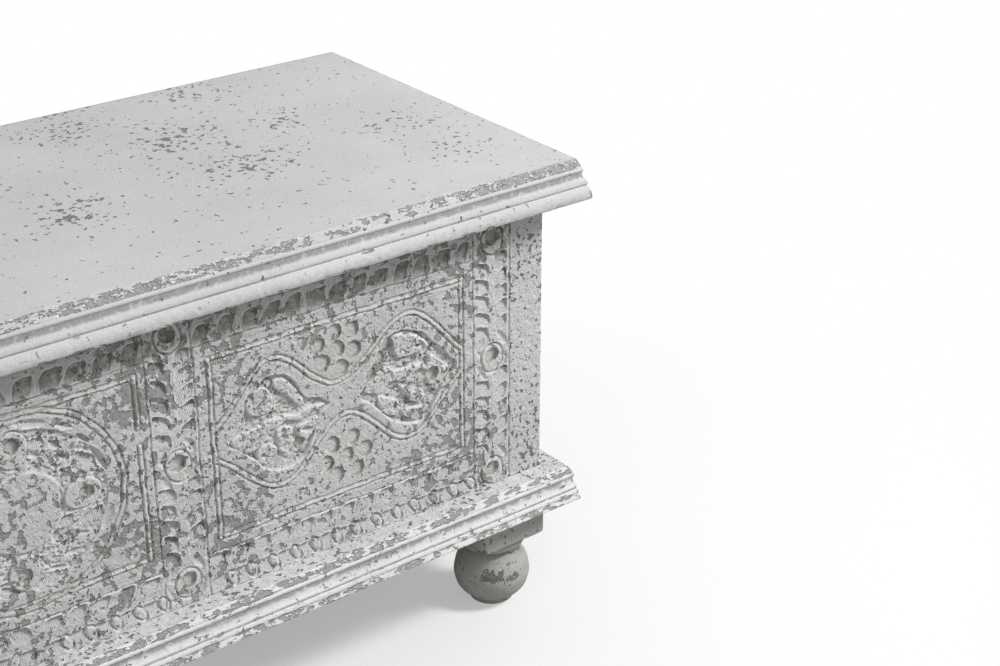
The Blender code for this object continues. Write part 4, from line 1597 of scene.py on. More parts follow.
@dataclass
class MouldedStrip:
    """A moulded strip along the front or a side: its section carried along the edge."""

    name: str
    section: Array  # the moulded face as (reach out from the wall, drop below the top), m
    inner: float  # reach of the strip's inner face, m
    top: float  # height of the strip's top, m
    back: float  # y where the side strips end, m
    body: Body
    rubbed: tuple[Triple, ...]  # drops between which the face is rubbed, m, and how much
    kept: float  # reach inside which nothing is rubbed, m
    seed: int
    shade_and_dirt_bands: tuple[Triple, ...] = ()  # drop, width and density of the bands darkened as painted shade, with some soiling in the base's cove, m
    half_width: float = HALF_WIDTH  # half width over the walls, m
    front: float = FRONT_FACE  # y of the front wall's face, m
    gap: float = 0.0003  # how far short of the mitre's plane an end stops, m
    spacing: float = 0.003  # about how far apart the rows along the strip are, m
    back_points: int = 5  # points up the inner face
    flecks: float = 0.2  # density of flecks on the strip

    def rubbing(self) -> Array:
        """How much each point of the section is rubbed.

        A zone counts in full between its two drops and fades within 1.4 mm of them. The underside,
        and what lies inside the kept reach, are left alone.

        Returns:
            Shares along the section.
        """
        reach, drop = self.section.T
        zones = [
            much * eased(1 - np.maximum(low - drop, drop - high) / 0.0014)
            for low, high, much in self.rubbed
        ]
        share = np.max(zones, 0) * eased((reach - self.kept) / 0.003)
        return share * (drop < drop.max() - 1e-5)

    def dressing(self, nick: Array) -> dict[str, Array]:
        """Marks for the finish at the strip's points.

        The mark hollow lies where the section turns inward, by its second difference, as painted
        shade in the quirks; on the ledge; and in bell curves round the drops that are given, as painted
        shade with some soiling.

        Args:
            nick: depth of the nicks at each point of the face, shape (rows, columns).

        Returns:
            Marks by name, with the inner face's columns after the moulded face's.
        """
        reach, drop = self.section.T
        ledge = (drop < 0.0002) * (reach < 0.0180)
        inset = np.gradient(np.gradient(reach))
        # painted shade in the quirks, where the section turns inward, and a darker ledge
        hollow = 1.9 * np.clip(inset / 0.00007, 0, 1) + 0.8 * ledge
        # bands of painted shade, with some soiling in the base's cove
        for at, width, much in self.shade_and_dirt_bands:
            hollow += much * np.exp(-(((drop - at) / width) ** 2))
        worn = 0.8 * self.rubbing() + 0.4 * nick + 0.1
        margin = ((0, 0), (0, self.back_points))
        marks = {"worn": worn, "hollow": hollow, "fleck": 0.75 * ledge, "crust": 1.2 * ledge}
        for name, values in marks.items():
            marks[name] = np.pad(np.broadcast_to(values, nick.shape), margin)
        marks["fleck"] += self.flecks
        return marks

    def build(self, run: Run, paint: Material) -> None:
        """Make one strip.

        A point of the section with reach r and drop d goes to height top - d. Along the front it
        stands r before the wall, at a share t of the half width plus r, so the ends are mitres;
        along a side it stands r outside, between its mitre in front and its square end behind.

        Args:
            run: the edge that the strip runs along.
            paint: its finish.
        """
        rng = np.random.default_rng(self.seed + list(Run).index(run))
        reach, drop = self.section.T
        length = 2 * self.half_width if run is Run.FRONT else self.back - self.front
        share = np.linspace(0.0, 1.0, int(length / self.spacing) + 1)[:, None]
        path, girth = share * length, lengths(self.section)[None]
        fade = eased(np.minimum(share, 1 - share) * length / 0.02)
        wobble = 0.00025 * drift(path, girth, 0.05, rng) + 0.0001 * drift(path, girth, 0.011, rng)
        nick = eased((drift(path, girth * 0.3, 0.009, rng) - 0.35) / 0.3) * self.rubbing()
        face = reach + (wobble - 0.0006 * nick) * fade
        reaches = np.pad(face, ((0, 0), (0, self.back_points)), constant_values=self.inner)
        heights = self.top - np.append(drop, np.linspace(drop.max(), 0.0, self.back_points))
        mitre = reaches - self.gap
        if run is Run.FRONT:
            x = (2 * share - 1) * (self.half_width + mitre)
            y = self.front - reaches
        else:
            side = 1.0 if run is Run.RIGHT else -1.0
            x = side * (self.half_width + reaches)
            y = (self.front - mitre) * (1 - share) + self.back * share
        points = placed(x, y, heights)
        skin = Skin()
        index = skin.grid(points, around=True, **self.dressing(nick))
        for end, backward in ((0, False), (-1, True)):
            skin.fan(index[end], points[end].mean(0), backward, worn=0.2)
        name = f"{self.name}_{run.value}"
        skin.piece(name + "_strip", paint, self.body, Slot.PAINT, name)


def lid_edge_section() -> Array:
    """Lid's edge from the top's rubbed arris down: bevel, bead, hollow and ovolo.

    Returns:
        Points as (reach, drop), m.
    """
    bead, bead_foot = (0.0239, 0.0085), (0.0247, 0.0114)
    ovolo, ovolo_foot = (0.0254, 0.0177), (0.0280, 0.0225)
    bevel = [(0.0193, 0.0), (0.0202, 0.00015), (0.0208, 0.0009), (0.0238, 0.0078)]
    quirk = [(0.0235, 0.0081), bead]
    hollow = [(0.0244, 0.0118), (0.0241, 0.0124), (0.0240, 0.0138), (0.0242, 0.0156)]
    parts = (bevel, quirk, arc(bead, bead_foot, 0.0006), hollow, [(0.0247, 0.0168), ovolo])
    foot = [(0.0279, 0.0232), (0.0272, 0.0245)]
    return even_steps(np.concatenate((*parts, arc(ovolo, ovolo_foot, 0.0005), foot)), MEMBER_STEP)


def lip_section() -> Array:
    """Lip strip's face under the lid: eased top edge, swelling face and rounded foot.

    Returns:
        Points as (reach, drop), m.
    """
    face = [(0.0025, -0.0003), (0.0270, -0.0003), (0.0275, 0.0001), (0.0280, 0.0009), (0.0291, 0.0028)]
    foot = [(0.0301, 0.0050), (0.0308, 0.0074), (0.0311, 0.0096), (0.0309, 0.0113), (0.0304, 0.0123)]
    return even_steps(np.array([*face, *foot, (0.0298, 0.0127), (0.0025, 0.0127)]), LIP_STEP)


def base_section() -> Array:
    """Base moulding's face: ledge, bevel, bead, cove, low bead and rubbed foot.

    Returns:
        Points as (reach, drop), m.
    """
    bead, bead_foot = (0.0219, 0.0067), (0.0229, 0.0107)
    cove, cove_foot, roll_foot = (0.0221, 0.0122), (0.0242, 0.0196), (0.0250, 0.0225)
    low_bead, low_foot = (0.0250, 0.0240), (0.0263, 0.0283)
    bevel = [(0.0003, 0.0), (0.0180, 0.0), (0.0187, 0.00025), (0.0191, 0.0009), (0.0220, 0.0061)]
    quirk = [(0.0216, 0.0064), bead]
    under = [(0.0226, 0.0111), (0.0222, 0.0115), cove]
    step = [(0.0247, 0.0229), (0.0247, 0.0235), low_bead]
    foot = [(0.0262, 0.0289), (0.0265, 0.0295), (0.0281, 0.0340), (0.0280, 0.0350), (0.0003, 0.0350)]
    upper = (bevel, quirk, arc(bead, bead_foot, 0.0008), under, arc(cove, cove_foot, -0.0006))
    lower = (arc(cove_foot, roll_foot, 0.0004), step, arc(low_bead, low_foot, 0.0006), foot)
    return even_steps(np.concatenate((*upper, *lower)), MEMBER_STEP)


@dataclass
class LidBoard:
    """Lid's board: flat top, moulded edge on three sides, and an underside let in for the hinges."""

    half_width: float = HALF_WIDTH  # half width over the walls, m
    front: float = FRONT_FACE  # y of the front wall's face, m
    back: float = LID_BACK  # y of the lid's back edge, m
    top: float = 0.4623  # height of its top, m
    underside: float = 0.4378  # height of its underside, m
    axis: Pair = HINGE_AXIS  # y and z of the hinge axis, m
    hinge: float = HINGE_PLACE  # distance of each hinge's middle from the chest's middle, m
    # Half length, inner end and depth of a leaf's mortise, m
    leaf: Triple = (0.0378, 0.0218, 0.0026)
    # Half length, half width and depth of a barrel's pocket, m
    barrel: Triple = (0.0396, 0.005, 0.005)
    # Places of the loose clusters of flecks, as x, y, radius and density
    clusters: tuple[tuple[float, float, float, float], ...] = (
        (0.210, 0.164, 0.055, 1.0), (0.348, 0.183, 0.050, 0.9),
        (0.279, 0.073, 0.062, 1.0), (0.298, -0.026, 0.060, 0.9),
        (0.128, -0.037, 0.048, 1.0), (0.463, -0.106, 0.040, 0.7),
        (0.469, -0.009, 0.045, 0.7), (0.381, 0.054, 0.045, 0.8),
        (0.060, 0.090, 0.060, 0.8), (-0.055, -0.070, 0.055, 0.8),
        (-0.160, 0.060, 0.060, 1.0), (-0.245, -0.055, 0.055, 0.9),
        (-0.330, 0.120, 0.060, 1.0), (-0.420, -0.020, 0.050, 0.9),
        (-0.470, 0.150, 0.050, 0.7),
    )
    columns: int = 316  # even divisions of the grid across the lid
    rows: int = 56  # even divisions from front to back
    waves: float = 0.00025  # height of the top's slow waves, m
    seed: int = 7

    @staticmethod
    def spread(low: float, high: float, count: int, extra: list[float]) -> Array:
        """Shares from 0 to 1 between two ends, even but for pairs of lines at given places.

        Args:
            low: the first end, m.
            high: the other end, m.
            count: even places between them.
            extra: places that get a pair of lines, m.

        Returns:
            The shares in order.
        """
        gap, room = 2e-5, 4e-4  # from a place to its lines, and to the nearest even one, m
        places = np.concatenate([(edge - gap, edge + gap) for edge in extra])
        even = np.linspace(low, high, count)
        even = even[np.abs(even[:, None] - np.array(extra)).min(1) > room]
        return (np.sort(np.concatenate((even, places))) - low) / (high - low)

    def mortises(self, x: Array, y: Array) -> Array:
        """Depth of the hinges' mortises and barrel pockets in the underside.

        Args:
            x: places across the lid, m.
            y: places from front to back, m.

        Returns:
            Depth over the underside, m.
        """
        away = np.abs(np.abs(x) - self.hinge)
        half, inner, deep = self.leaf
        leaf = (away < half) & (y > self.axis[0] - inner) & (y < self.axis[0])
        pocket = (away < self.barrel[0]) & (np.abs(y - self.axis[0]) < self.barrel[1])
        rise = self.axis[1] - self.underside
        return np.where(pocket, self.barrel[2] + rise, np.where(leaf, deep + rise, 0.0))

    def build(self, paint: Material) -> None:
        """Make the lid's board: level top, moulded edge, and underside that rises into the mortises.

        All three share the same divisions round their edges.

        Args:
            paint: the lid's finish.
        """
        rng = np.random.default_rng(self.seed)
        section = lid_edge_section()
        wide, deep_front = self.half_width + section[-1, 0], self.front - section[-1, 0]
        edges_x = [
            side * self.hinge + way * half
            for side in (-1, 1)
            for way in (-1, 1)
            for half in (self.leaf[0], self.barrel[0])
        ]
        pocket = self.barrel[1]
        edges_y = [self.axis[0] + part for part in (-self.leaf[1], -pocket, 0.0, pocket)]
        share_x = self.spread(-wide, wide, self.columns, edges_x)
        share_y = self.spread(deep_front, self.back, self.rows, edges_y)
        skin = Skin()
        top, clusters = self.level(share_x, share_y, section[0, 0])
        wave = self.waves * drift(top[..., 0], top[..., 1], 0.09, rng)
        inset = np.minimum(share_x, 1 - share_x)[None] * 2 * wide
        depth = np.minimum(share_y, 1 - share_y)[:, None] * (self.back - deep_front)
        margin = np.minimum(inset, depth)
        top[..., 2] = self.top - self.waves + wave * eased(margin / 0.02)
        index = skin.grid(top, worn=0.4 * eased(1 - margin / 0.012), fleck=clusters)
        outline = Skin.border(index)
        rings = self.edge(skin, section, top.reshape(-1, 3)[outline], rng)
        skin.join(np.concatenate((outline[None], rings)), around=True)
        under, _ = self.level(share_x, share_y, section[-1, 0])
        under[..., 2] = self.underside + self.mortises(under[..., 0], under[..., 1])
        below = skin.take(under, bare=1.0)
        skin.join(below[::-1])
        skin.join(np.stack((rings[-1], Skin.border(below))), around=True)
        skin.piece("lid_board_top", paint, Body.LID, Slot.PAINT, "lid_board")

    def edge(self, skin: Skin, section: Array, ring: Array, rng: Rng) -> Array:
        """Carry the edge's section round the lid, from the top's outline down.

        Each point of the section, with reach r and drop d, is a rectangle r outside the walls and
        d below the top. The bevel and the ovolo's foot are rubbed. The hollow under the bead is marked
        for painted shade with some soiling, and the ovolo's foot, where the lid meets the lip, for
        painted shade.

        Args:
            skin: the lid's skin.
            section: the edge's section, whose first point lies on the top's outline.
            ring: the top's outline, shape (n, 3).
            rng: source of the unevenness.

        Returns:
            Indexes of the new points, one row for each further point of the section.
        """
        at_front = np.isclose(ring[:, 1], ring[:, 1].min())
        at_back = np.isclose(ring[:, 1], ring[:, 1].max()) & ~at_front
        run = np.where(at_front | at_back, ring[:, 0], ring[:, 1] + 2.0)[None]
        drop = section[1:, 1][:, None]
        girth = lengths(section)[1:, None]
        bevel_end, hollow_start, hollow_end, ovolo_foot = 0.0085, 0.0112, 0.0184, 0.0228  # drops, m
        arris = eased((bevel_end - drop) / 0.0008)
        arris += 0.3 * np.exp(-(((drop - ovolo_foot) / 0.0010) ** 2))
        nick = eased((drift(run, girth * 0.3, 0.009, rng) - 0.30) / 0.35) * arris
        wobble = 0.0002 * drift(run, girth, 0.06, rng)
        reach = section[1:, 0][:, None] + wobble - 0.0007 * nick
        start = section[0, 0]
        side_x = np.sign(ring[:, 0]) * np.isclose(np.abs(ring[:, 0]), self.half_width + start)
        stretch_x = np.where(side_x == 0, ring[:, 0] / (self.half_width + start), side_x)
        x = stretch_x * (self.half_width + reach)
        front = (self.back - ring[:, 1]) / (self.back - self.front + start)
        y = self.back - front * (self.back - self.front + reach)
        patchy = 1.02 + 0.22 * drift(run, girth, 0.07, rng)
        patchy += 0.36 * eased((ring[:, 0] - 0.36) / 0.1)
        worn = patchy * arris + 0.3 * nick + 0.08
        # painted shade with some soiling in the hollow under the bead
        hollow = 3.0 * eased((drop - hollow_start) / 0.0008) * eased((hollow_end - drop) / 0.0026)
        # painted shade at the ovolo's foot, where the lid meets the lip
        hollow += 0.8 * eased((drop - ovolo_foot + 0.0004) / 0.0012)
        crust = 0.5 * eased((drop - hollow_start + 0.0002) / 0.004)
        points = placed(x, y, self.top - drop)
        return skin.take(points, worn=worn, hollow=hollow, fleck=0.08, crust=crust)

    def level(self, share_x: Array, share_y: Array, reach: float) -> tuple[Array, Array]:
        """A level grid over the lid at one reach, and the density of flecks on it.

        Args:
            share_x: shares across the width.
            share_y: shares from front to back.
            reach: how far the grid reaches outside the walls, m.

        Returns:
            Points of shape (rows, columns, 3), and the clusters' density at each.
        """
        x = (2 * share_x - 1) * (self.half_width + reach)
        y = self.front - reach + share_y * (self.back - self.front + reach)
        grid_x, grid_y = np.meshgrid(x, y)
        density = np.zeros(grid_x.shape)
        for at_x, at_y, radius, much in self.clusters:
            away = np.hypot(grid_x - at_x, 1.1 * (grid_y - at_y)) / (0.85 * radius)
            density = np.maximum(density, much * np.exp(-(away**2)))
        return placed(grid_x, grid_y, self.top), density


# Feet


@dataclass
class TurnedFoot:
    """Foot: a square block over a collar, a ball and a pad, turned in one."""

    name: str
    x: float  # the axis's x, m
    y: float  # the axis's y, m
    patch: float  # direction of the patch on the ball where the paint is rubbed off, radians
    seed: int
    half: float = 0.038  # half of the block's side, m
    block_low: float = 0.0745  # height of the block's underside, m
    block_high: float = 0.1145  # height of its top, m
    block_ease: float = 0.0022  # how far its edges are eased, m
    collar: float = 0.0322  # radius of the collar, m
    neck: float = 0.063  # height of the collar's lower edge, m
    ball: float = 0.0372  # radius of the ball, m
    squat: float = 0.0318  # height of the ball's flatter lower half, m
    ball_height: float = 0.0296  # height of the ball's middle, m
    pad: float = 0.0215  # radius of the pad, m
    pad_height: float = 0.0045  # height of the pad, m
    patch_height: float = 0.041  # height of the rubbed patch, m
    dark_band_height: float = 0.0605  # height of the darker band under the collar, m
    steps: int = 112  # points round the axis

    def outline(self) -> Array:
        """Turned outline from under the block to the pad, as (radius, height).

        The ball is a circle above its middle and a flatter ellipse below it.

        Returns:
            Points of the outline, shape (n, 2).
        """
        start = math.asin((self.neck - 0.002 - self.ball_height) / self.ball)
        end = math.asin((self.pad_height - self.ball_height) / self.squat)
        angle = np.concatenate((np.linspace(start, 0, 20), np.linspace(0, end, 24)[1:]))
        tall = np.where(angle > 0, self.ball, self.squat)
        ball = np.stack((self.ball * np.cos(angle), self.ball_height + tall * np.sin(angle)), 1)
        collar = [(self.collar, self.block_low + 0.0004), (self.collar, self.neck + 0.003)]
        pad = [(self.pad + 0.0006, self.pad_height - 0.001), (self.pad, 0.0)]
        line = np.array([*collar, (self.collar - 0.002, self.neck), *ball, *pad])
        return even_steps(line, FOOT_STEP)

    def build(self, paint: Material) -> None:
        """Make the turned part and the block as one piece of two closed skins.

        The turned part carries its outline round the axis, with faint rings from the lathe. The
        paint is rubbed off in a patch on the ball, which fades as a bell curve round and up it.

        Args:
            paint: the feet's finish.
        """
        rng = np.random.default_rng(self.seed)
        skin = Skin()
        line = self.outline()
        angle = np.linspace(0, 2 * np.pi, self.steps, endpoint=False)[None]
        radius, height = line[:, :1], line[:, 1:]
        uneven = 0.0002 * drift(angle * 0.03, height, 0.02, rng)
        ridge = 0.00016 * np.sin(height / 0.0021) + uneven * eased((height - 0.002) / 0.01)
        spread = radius + ridge
        turned = placed(self.x + spread * np.cos(angle), self.y + spread * np.sin(angle), height)
        near = np.minimum(np.abs(height - self.neck), np.abs(height - self.pad_height))
        round_to = (angle - self.patch + np.pi) % (2 * np.pi) - np.pi
        patch = np.exp(-((round_to / 0.72) ** 2) - ((height - self.patch_height) / 0.0095) ** 2)
        cloud = drift(np.cos(angle) * 0.04, np.sin(angle) * 0.04 + height, 0.02, rng)
        worn = 0.45 * eased(1 - near / 0.004) + 0.3 * eased(cloud) + 1.8 * patch
        # a darker band just under the collar
        hollow = eased(1 - np.abs(height - self.dark_band_height) / 0.006)
        index = skin.grid(turned, around=True, worn=worn, hollow=hollow, fleck=0.2)
        skin.fan(index[0], (self.x, self.y, line[0, 1]))
        skin.fan(index[-1], (self.x, self.y, 0.0), backward=True)
        self.block(skin, rng)
        skin.piece(self.name + "_turned", paint, Body.CHEST, Slot.FOOT, self.name)

    def block(self, skin: Skin, rng: Rng) -> None:
        """Add the block: a square whose corners are rubbed, stacked between its eased edges.

        A point at shares a and b of the half sides is drawn in by 0.055 |a b|^14.

        Args:
            skin: the foot's skin.
            rng: source of the unevenness.
        """
        side = np.linspace(-1, 1, 24, endpoint=False)
        one = np.ones(side.size)
        square_x = np.concatenate((side, one, -side, -one))
        square_y = np.concatenate((-one, side, one, -side))
        soft = 1 - 0.055 * (np.abs(square_x * square_y)) ** 14
        height = np.linspace(self.block_low, self.block_high, 22)[:, None]
        away = np.minimum(height - self.block_low, self.block_high - height)
        ease = self.block_ease * np.clip(1 - away / self.block_ease, 0, 1) ** 2
        run = np.arange(square_x.size)[None] * 0.0032
        nick = eased((drift(run, height, 0.011, rng) - 0.35) / 0.3)
        edge = np.maximum(np.abs(square_x * square_y)[None] ** 10, eased(1 - away / 0.006))
        size = self.half - ease - 0.0007 * nick * edge + 0.0002 * drift(run, height, 0.03, rng)
        size = np.minimum(size, self.half)
        points = placed(self.x + size * square_x * soft, self.y + size * square_y * soft, height)
        worn = 0.25 + 0.6 * edge + 0.4 * nick
        index = skin.grid(points, around=True, worn=worn, fleck=0.6)
        skin.fan(index[0], (self.x, self.y, self.block_low), backward=True, worn=0.2)
        skin.fan(index[-1], (self.x, self.y, self.block_high), worn=0.2)


# Boards and hinges


def dress_nodes(material: Material, *nodes: str) -> None:
    """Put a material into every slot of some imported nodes.

    Args:
        material: the finish.
        nodes: names of the nodes.
    """
    for name in nodes:
        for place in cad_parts[name].material_slots:
            place.material = material
        log.info("%s: dressed with %s", name, material.name)


@dataclass(frozen=True)
class PlainBoards:
    """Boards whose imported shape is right, and which only need their finish."""

    floor: Plywood = Plywood("floor_plywood")
    along_x: BareWood = BareWood("sawn_wood_along_width")
    along_y: BareWood = BareWood("sawn_wood_along_depth", (45.0, 2.0, 45.0))
    upright: BareWood = BareWood("sawn_block_wood", (45.0, 45.0, 4.0), (0.36, 0.25, 0.15))

    def dress(self) -> None:
        """Give each board its material; a wall's inner face is left bare."""
        plain = {"chip_level": 0.64, "chip_scale": 110.0, "fleck_level": 0.68, "grain": 1.0}
        for node, paint, bare_side in (
            ("side_panel_left", "side_paint_left", BareSide.FACING_RIGHT),
            ("side_panel_right", "side_paint_right", BareSide.FACING_LEFT),
            ("back_panel", "back_paint", BareSide.FACING_FRONT),
        ):
            dress_nodes(DistressedPaint(paint, bare_side=bare_side, **plain).material(), node)
        dress_nodes(self.floor.material(), "floor_panel")
        dress_nodes(self.along_x.material(), "floor_cleat_front", "floor_cleat_back")
        sides = ("left", "right")
        across = [f"{kind}_{side}" for kind in ("floor_cleat", "lid_batten") for side in sides]
        dress_nodes(self.along_y.material(), *across)
        corners = [f"{end}_{side}" for end in ("front", "back") for side in sides]
        kinds = ("corner_block", "foot_dowel")
        blocks = [f"{kind}_{corner}" for kind in kinds for corner in corners]
        dress_nodes(self.upright.material(), *blocks)


@dataclass
class ButtHinges:
    """Packed hinge leaves and pins in blackened steel, and the screws in the leaves."""

    spacing: float = HINGE_PLACE  # distance of each hinge from the middle, m
    axis: Pair = HINGE_AXIS  # y and z of the hinge axis, m
    screw_radius: float = 0.0031  # radius of a screw's head, m
    slot_half: float = 0.00035  # half width of its slot, m
    proud: float = 0.00018  # height of its dome, m
    rim: float = 0.00002  # height of its rim over the leaf, m
    sunk: float = 0.0004  # depth of its foot in the leaf, m
    leaf_face: float = 0.0003  # from the axis's level to each leaf's face, m
    rows: Pair = (0.012, 0.016)  # distances of the staggered screws from the axis, m

    def build(self) -> None:
        """Dress the leaves and pins and set the screws."""
        iron = BlackIron("blackened_steel").material()
        sides = ("left", "right")
        parts = ("body_leaf", "lid_leaf", "pin")
        dress_nodes(iron, *(f"hinge_{part}_{side}" for part in parts for side in sides))
        for side, way in zip(sides, (-1, 1)):
            middle = way * self.spacing
            self.screws(f"wall_leaf_screws_{side}", middle, -1, Body.CHEST, iron, (-28, -2, 26))
            self.screws(f"lid_leaf_screws_{side}", middle, 1, Body.LID, iron, (-26, 2, 28))

    def screws(
        self,
        name: str,
        middle: float,
        face: int,
        body: Body,
        iron: Material,
        places: tuple[int, ...],
    ) -> None:
        """Three slotted heads on one leaf.

        A head is a low dome, 1 - (r / R)^4, cut across by a slot with sides as steep as a step.

        Args:
            name: name of the piece.
            middle: x of the hinge's middle, m.
            face: -1 for the wall's leaf, 1 for the lid's.
            body: the body that it rides on.
            iron: the finish.
            places: where the screws stand along the leaf, mm from its middle.
        """
        skin = Skin()
        share = np.linspace(0.08, 1.0, 12)[:, None]
        angle = np.linspace(0, 2 * np.pi, 40, endpoint=False)[None]
        reach = share * self.screw_radius
        level = self.axis[1] + face * self.leaf_face
        for number, place in enumerate(places):
            turn = 0.5 + 1.1 * number
            slot = eased((np.abs(reach * np.sin(angle - turn)) - self.slot_half) / 0.0002)
            rise = self.proud * (1 - share**4) * slot + self.rim
            x, y = middle + place * MM, self.axis[0] - self.rows[number % 2]
            dome = level - face * rise
            points = placed(x + reach * np.cos(angle), y + reach * np.sin(angle), dome)
            index = skin.grid(points, around=True)
            foot = points[-1].copy()
            foot[:, 2] = level + face * self.sunk
            foot_index = skin.take(foot)
            skin.join(np.stack((index[-1], foot_index)), around=True)
            skin.fan(index[0], (x, y, level - face * self.rim))
            skin.fan(foot_index, (x, y, level + face * self.sunk), backward=True)
        skin.piece(name, iron, body, Slot.IRON)


# Studio


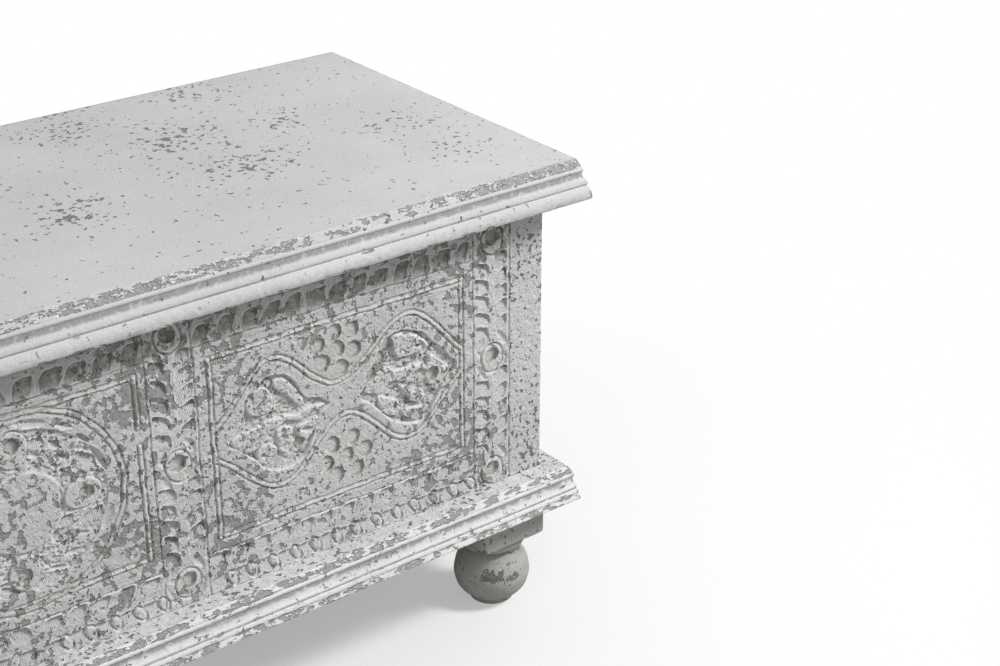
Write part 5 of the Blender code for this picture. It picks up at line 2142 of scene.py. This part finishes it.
@dataclass(frozen=True)
class Studio:
    """Pale floor, soft lamps and the camera at the photograph's place."""

    camera_at: Triple = (-0.4496, -1.3449, 1.0372)  # the camera's place, m
    camera_turn: Triple = (63.795, 0.0, -37.853)  # its angles, degrees
    lens: float = 66.09  # its focal length, mm
    sensor: float = 36.0  # width of its sensor, mm
    aim: Triple = (0.1, 0.0, 0.28)  # point that the lamps look at, m
    floor_half: float = 9.0  # half of the floor's side, m
    # The floor's grey in the light that it throws back, and to the camera
    floor_greys: Pair = (0.44, 0.93)
    # Each lamp's name, place in m, side in m and watts
    lamps: tuple[tuple[str, Triple, float, float], ...] = (
        ("key_lamp", (2.13, -1.70, 2.38), 0.7, 86.0),
        ("fill_lamp", (-2.4, -1.8, 1.5), 1.8, 9.0),
        ("back_lamp", (0.3, 2.6, 2.2), 1.6, 6.0),
    )

    def build(self) -> None:
        """Make the world, the floor, the lamps and the camera."""
        scene = bpy.context.scene
        scene.view_settings.view_transform = "Standard"
        self.world(scene)
        self.floor()
        for lamp in self.lamps:
            self.lamp(*lamp)
        data = bpy.data.cameras.new("photo_camera")
        data.lens = self.lens
        data.sensor_width = self.sensor
        data.sensor_fit = "HORIZONTAL"
        camera = bpy.data.objects.new("photo_camera", data)
        camera.location = self.camera_at
        camera.rotation_euler = tuple(math.radians(angle) for angle in self.camera_turn)
        scene.collection.objects.link(camera)
        scene.camera = camera

    def world(self, scene: bpy.types.Scene) -> None:
        """White to the camera and in gloss, a soft grey dome for the light.

        Args:
            scene: the scene that it lights.
        """
        world = bpy.data.worlds.new("studio_world")
        world.use_nodes = True
        nodes, links = world.node_tree.nodes, world.node_tree.links
        path = nodes.new("ShaderNodeLightPath")
        seen = path.outputs["Is Camera Ray"]
        for name in ("Is Glossy Ray", "Is Transmission Ray"):
            either = nodes.new("ShaderNodeMath")
            either.operation = "MAXIMUM"
            links.new(seen, either.inputs[0])
            links.new(path.outputs[name], either.inputs[1])
            seen = either.outputs[0]
        mix = nodes.new("ShaderNodeMixShader")
        dome = nodes["Background"]
        dome.inputs["Color"].default_value = (0.97, 0.985, 1.0, 1.0)
        dome.inputs["Strength"].default_value = 0.34
        white = nodes.new("ShaderNodeBackground")
        white.inputs["Color"].default_value = (1.0, 1.0, 1.0, 1.0)
        links.new(seen, mix.inputs[0])
        links.new(dome.outputs[0], mix.inputs[1])
        links.new(white.outputs[0], mix.inputs[2])
        links.new(mix.outputs[0], nodes["World Output"].inputs["Surface"])
        scene.world = world

    def floor(self) -> None:
        """A wide pale floor that goes over to plain white away from the chest."""
        side = np.linspace(-self.floor_half, self.floor_half, 13)
        points = placed(*np.meshgrid(side, side), 0.0).reshape(-1, 3)
        index = np.arange(side.size**2).reshape(side.size, side.size)
        corners = (index[:-1, :-1], index[:-1, 1:], index[1:, 1:], index[1:, :-1])
        mesh = bpy.data.meshes.new("studio_floor")
        mesh.from_pydata(points, [], np.stack(corners, -1).reshape(-1, 4))
        mesh.materials.append(self.floor_finish())
        made = bpy.data.objects.new("studio_floor", mesh)
        bpy.context.scene.collection.objects.link(made)

    def floor_finish(self) -> Material:
        """Pale matt floor near the chest, and white to the camera further off.

        Returns:
            The floor's material, which throws less light back at the chest than the camera sees.
        """
        bench = NodeBench("pale_floor")
        path = bench.nodes.new("ShaderNodeLightPath")
        seen = path.outputs["Is Camera Ray"]
        thrown, shown = ((grey,) * 3 for grey in self.floor_greys)
        bench.feed(bench.shader.inputs["Base Color"], bench.blend(seen, thrown, shown))
        bench.shader.inputs["Roughness"].default_value = 0.9
        bench.shader.inputs["Specular IOR Level"].default_value = 0.0
        length = bench.nodes.new("ShaderNodeVectorMath")
        length.operation = "LENGTH"
        bench.links.new(bench.stretched((0.8, 1.4, 1.0)), length.inputs[0])
        far = bench.band(length.outputs["Value"], 0.42, 0.95)
        share = bench.sums("MULTIPLY", bench.sums("MULTIPLY_ADD", far, 0.65, 0.35), seen)
        white = bench.nodes.new("ShaderNodeEmission")
        mix = bench.nodes.new("ShaderNodeMixShader")
        bench.links.new(share, mix.inputs[0])
        bench.links.new(bench.shader.outputs[0], mix.inputs[1])
        bench.links.new(white.outputs[0], mix.inputs[2])
        bench.links.new(mix.outputs[0], bench.nodes["Material Output"].inputs["Surface"])
        return bench.material

    def lamp(self, name: str, at: Triple, size: float, power: float) -> None:
        """A square soft lamp that looks at the middle of the chest.

        Args:
            name: name of the lamp.
            at: its place, m.
            size: side of its square, m.
            power: watts.
        """
        data = bpy.data.lights.new(name, "AREA")
        data.size = size
        data.energy = power
        lamp = bpy.data.objects.new(name, data)
        lamp.location = at
        away = np.subtract(at, self.aim)
        flat = math.hypot(away[0], away[1])
        lamp.rotation_euler = (math.atan2(flat, away[2]), 0.0, math.atan2(away[0], -away[1]))
        bpy.context.scene.collection.objects.link(lamp)


# All together


def main() -> None:
    """Build the chest from its carved front to its hinges, then the studio round it."""
    logging.basicConfig(level=logging.INFO, format="%(name)s: %(message)s")
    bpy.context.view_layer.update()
    CarvedFront().build(FRONT_PAINT.material())
    LidBoard().build(LID_PAINT.material())
    lip = MouldedStrip(
        name="lid_lip",
        section=lip_section(),
        inner=0.0025,
        top=0.4375,
        back=LID_BACK,
        body=Body.LID,
        rubbed=((0.0110, 0.0127, 1.0),),
        kept=0.02,
        seed=11,
        # painted shade, darker towards the lip's rounded foot
        shade_and_dirt_bands=((0.0095, 0.0050, 1.0),),
    )
    base = MouldedStrip(
        name="base_moulding",
        section=base_section(),
        inner=0.0003,
        top=BASE_TOP,
        back=0.178004,
        body=Body.CHEST,
        rubbed=((0.0004, 0.0061, 1.0), (0.0288, 0.0348, 0.72)),
        kept=0.0172,
        seed=21,
        # painted shade under the bead at the cove's top, with some soiling, and in the step over the
        # low bead
        shade_and_dirt_bands=((0.0126, 0.0028, 3.0), (0.0231, 0.0008, 1.2)),
    )
    lip_paint, base_paint = LIP_PAINT.material(), BASE_PAINT.material()
    for run in Run:
        lip.build(run, lip_paint)
        base.build(run, base_paint)
    foot_x, front_y, back_y = 0.4795, -0.135496, 0.144504
    feet = (
        TurnedFoot("foot_front_left", -foot_x, front_y, patch=-1.3, seed=31),
        TurnedFoot("foot_front_right", foot_x, front_y, patch=-2.1, seed=32),
        TurnedFoot("foot_back_left", -foot_x, back_y, patch=2.4, seed=33),
        TurnedFoot("foot_back_right", foot_x, back_y, patch=1.2, seed=34),
    )
    foot_paint = FOOT_PAINT.material()
    for foot in feet:
        foot.build(foot_paint)
    PlainBoards().dress()
    ButtHinges().build()
    Studio().build()


if __name__ == "__main__":
    main()
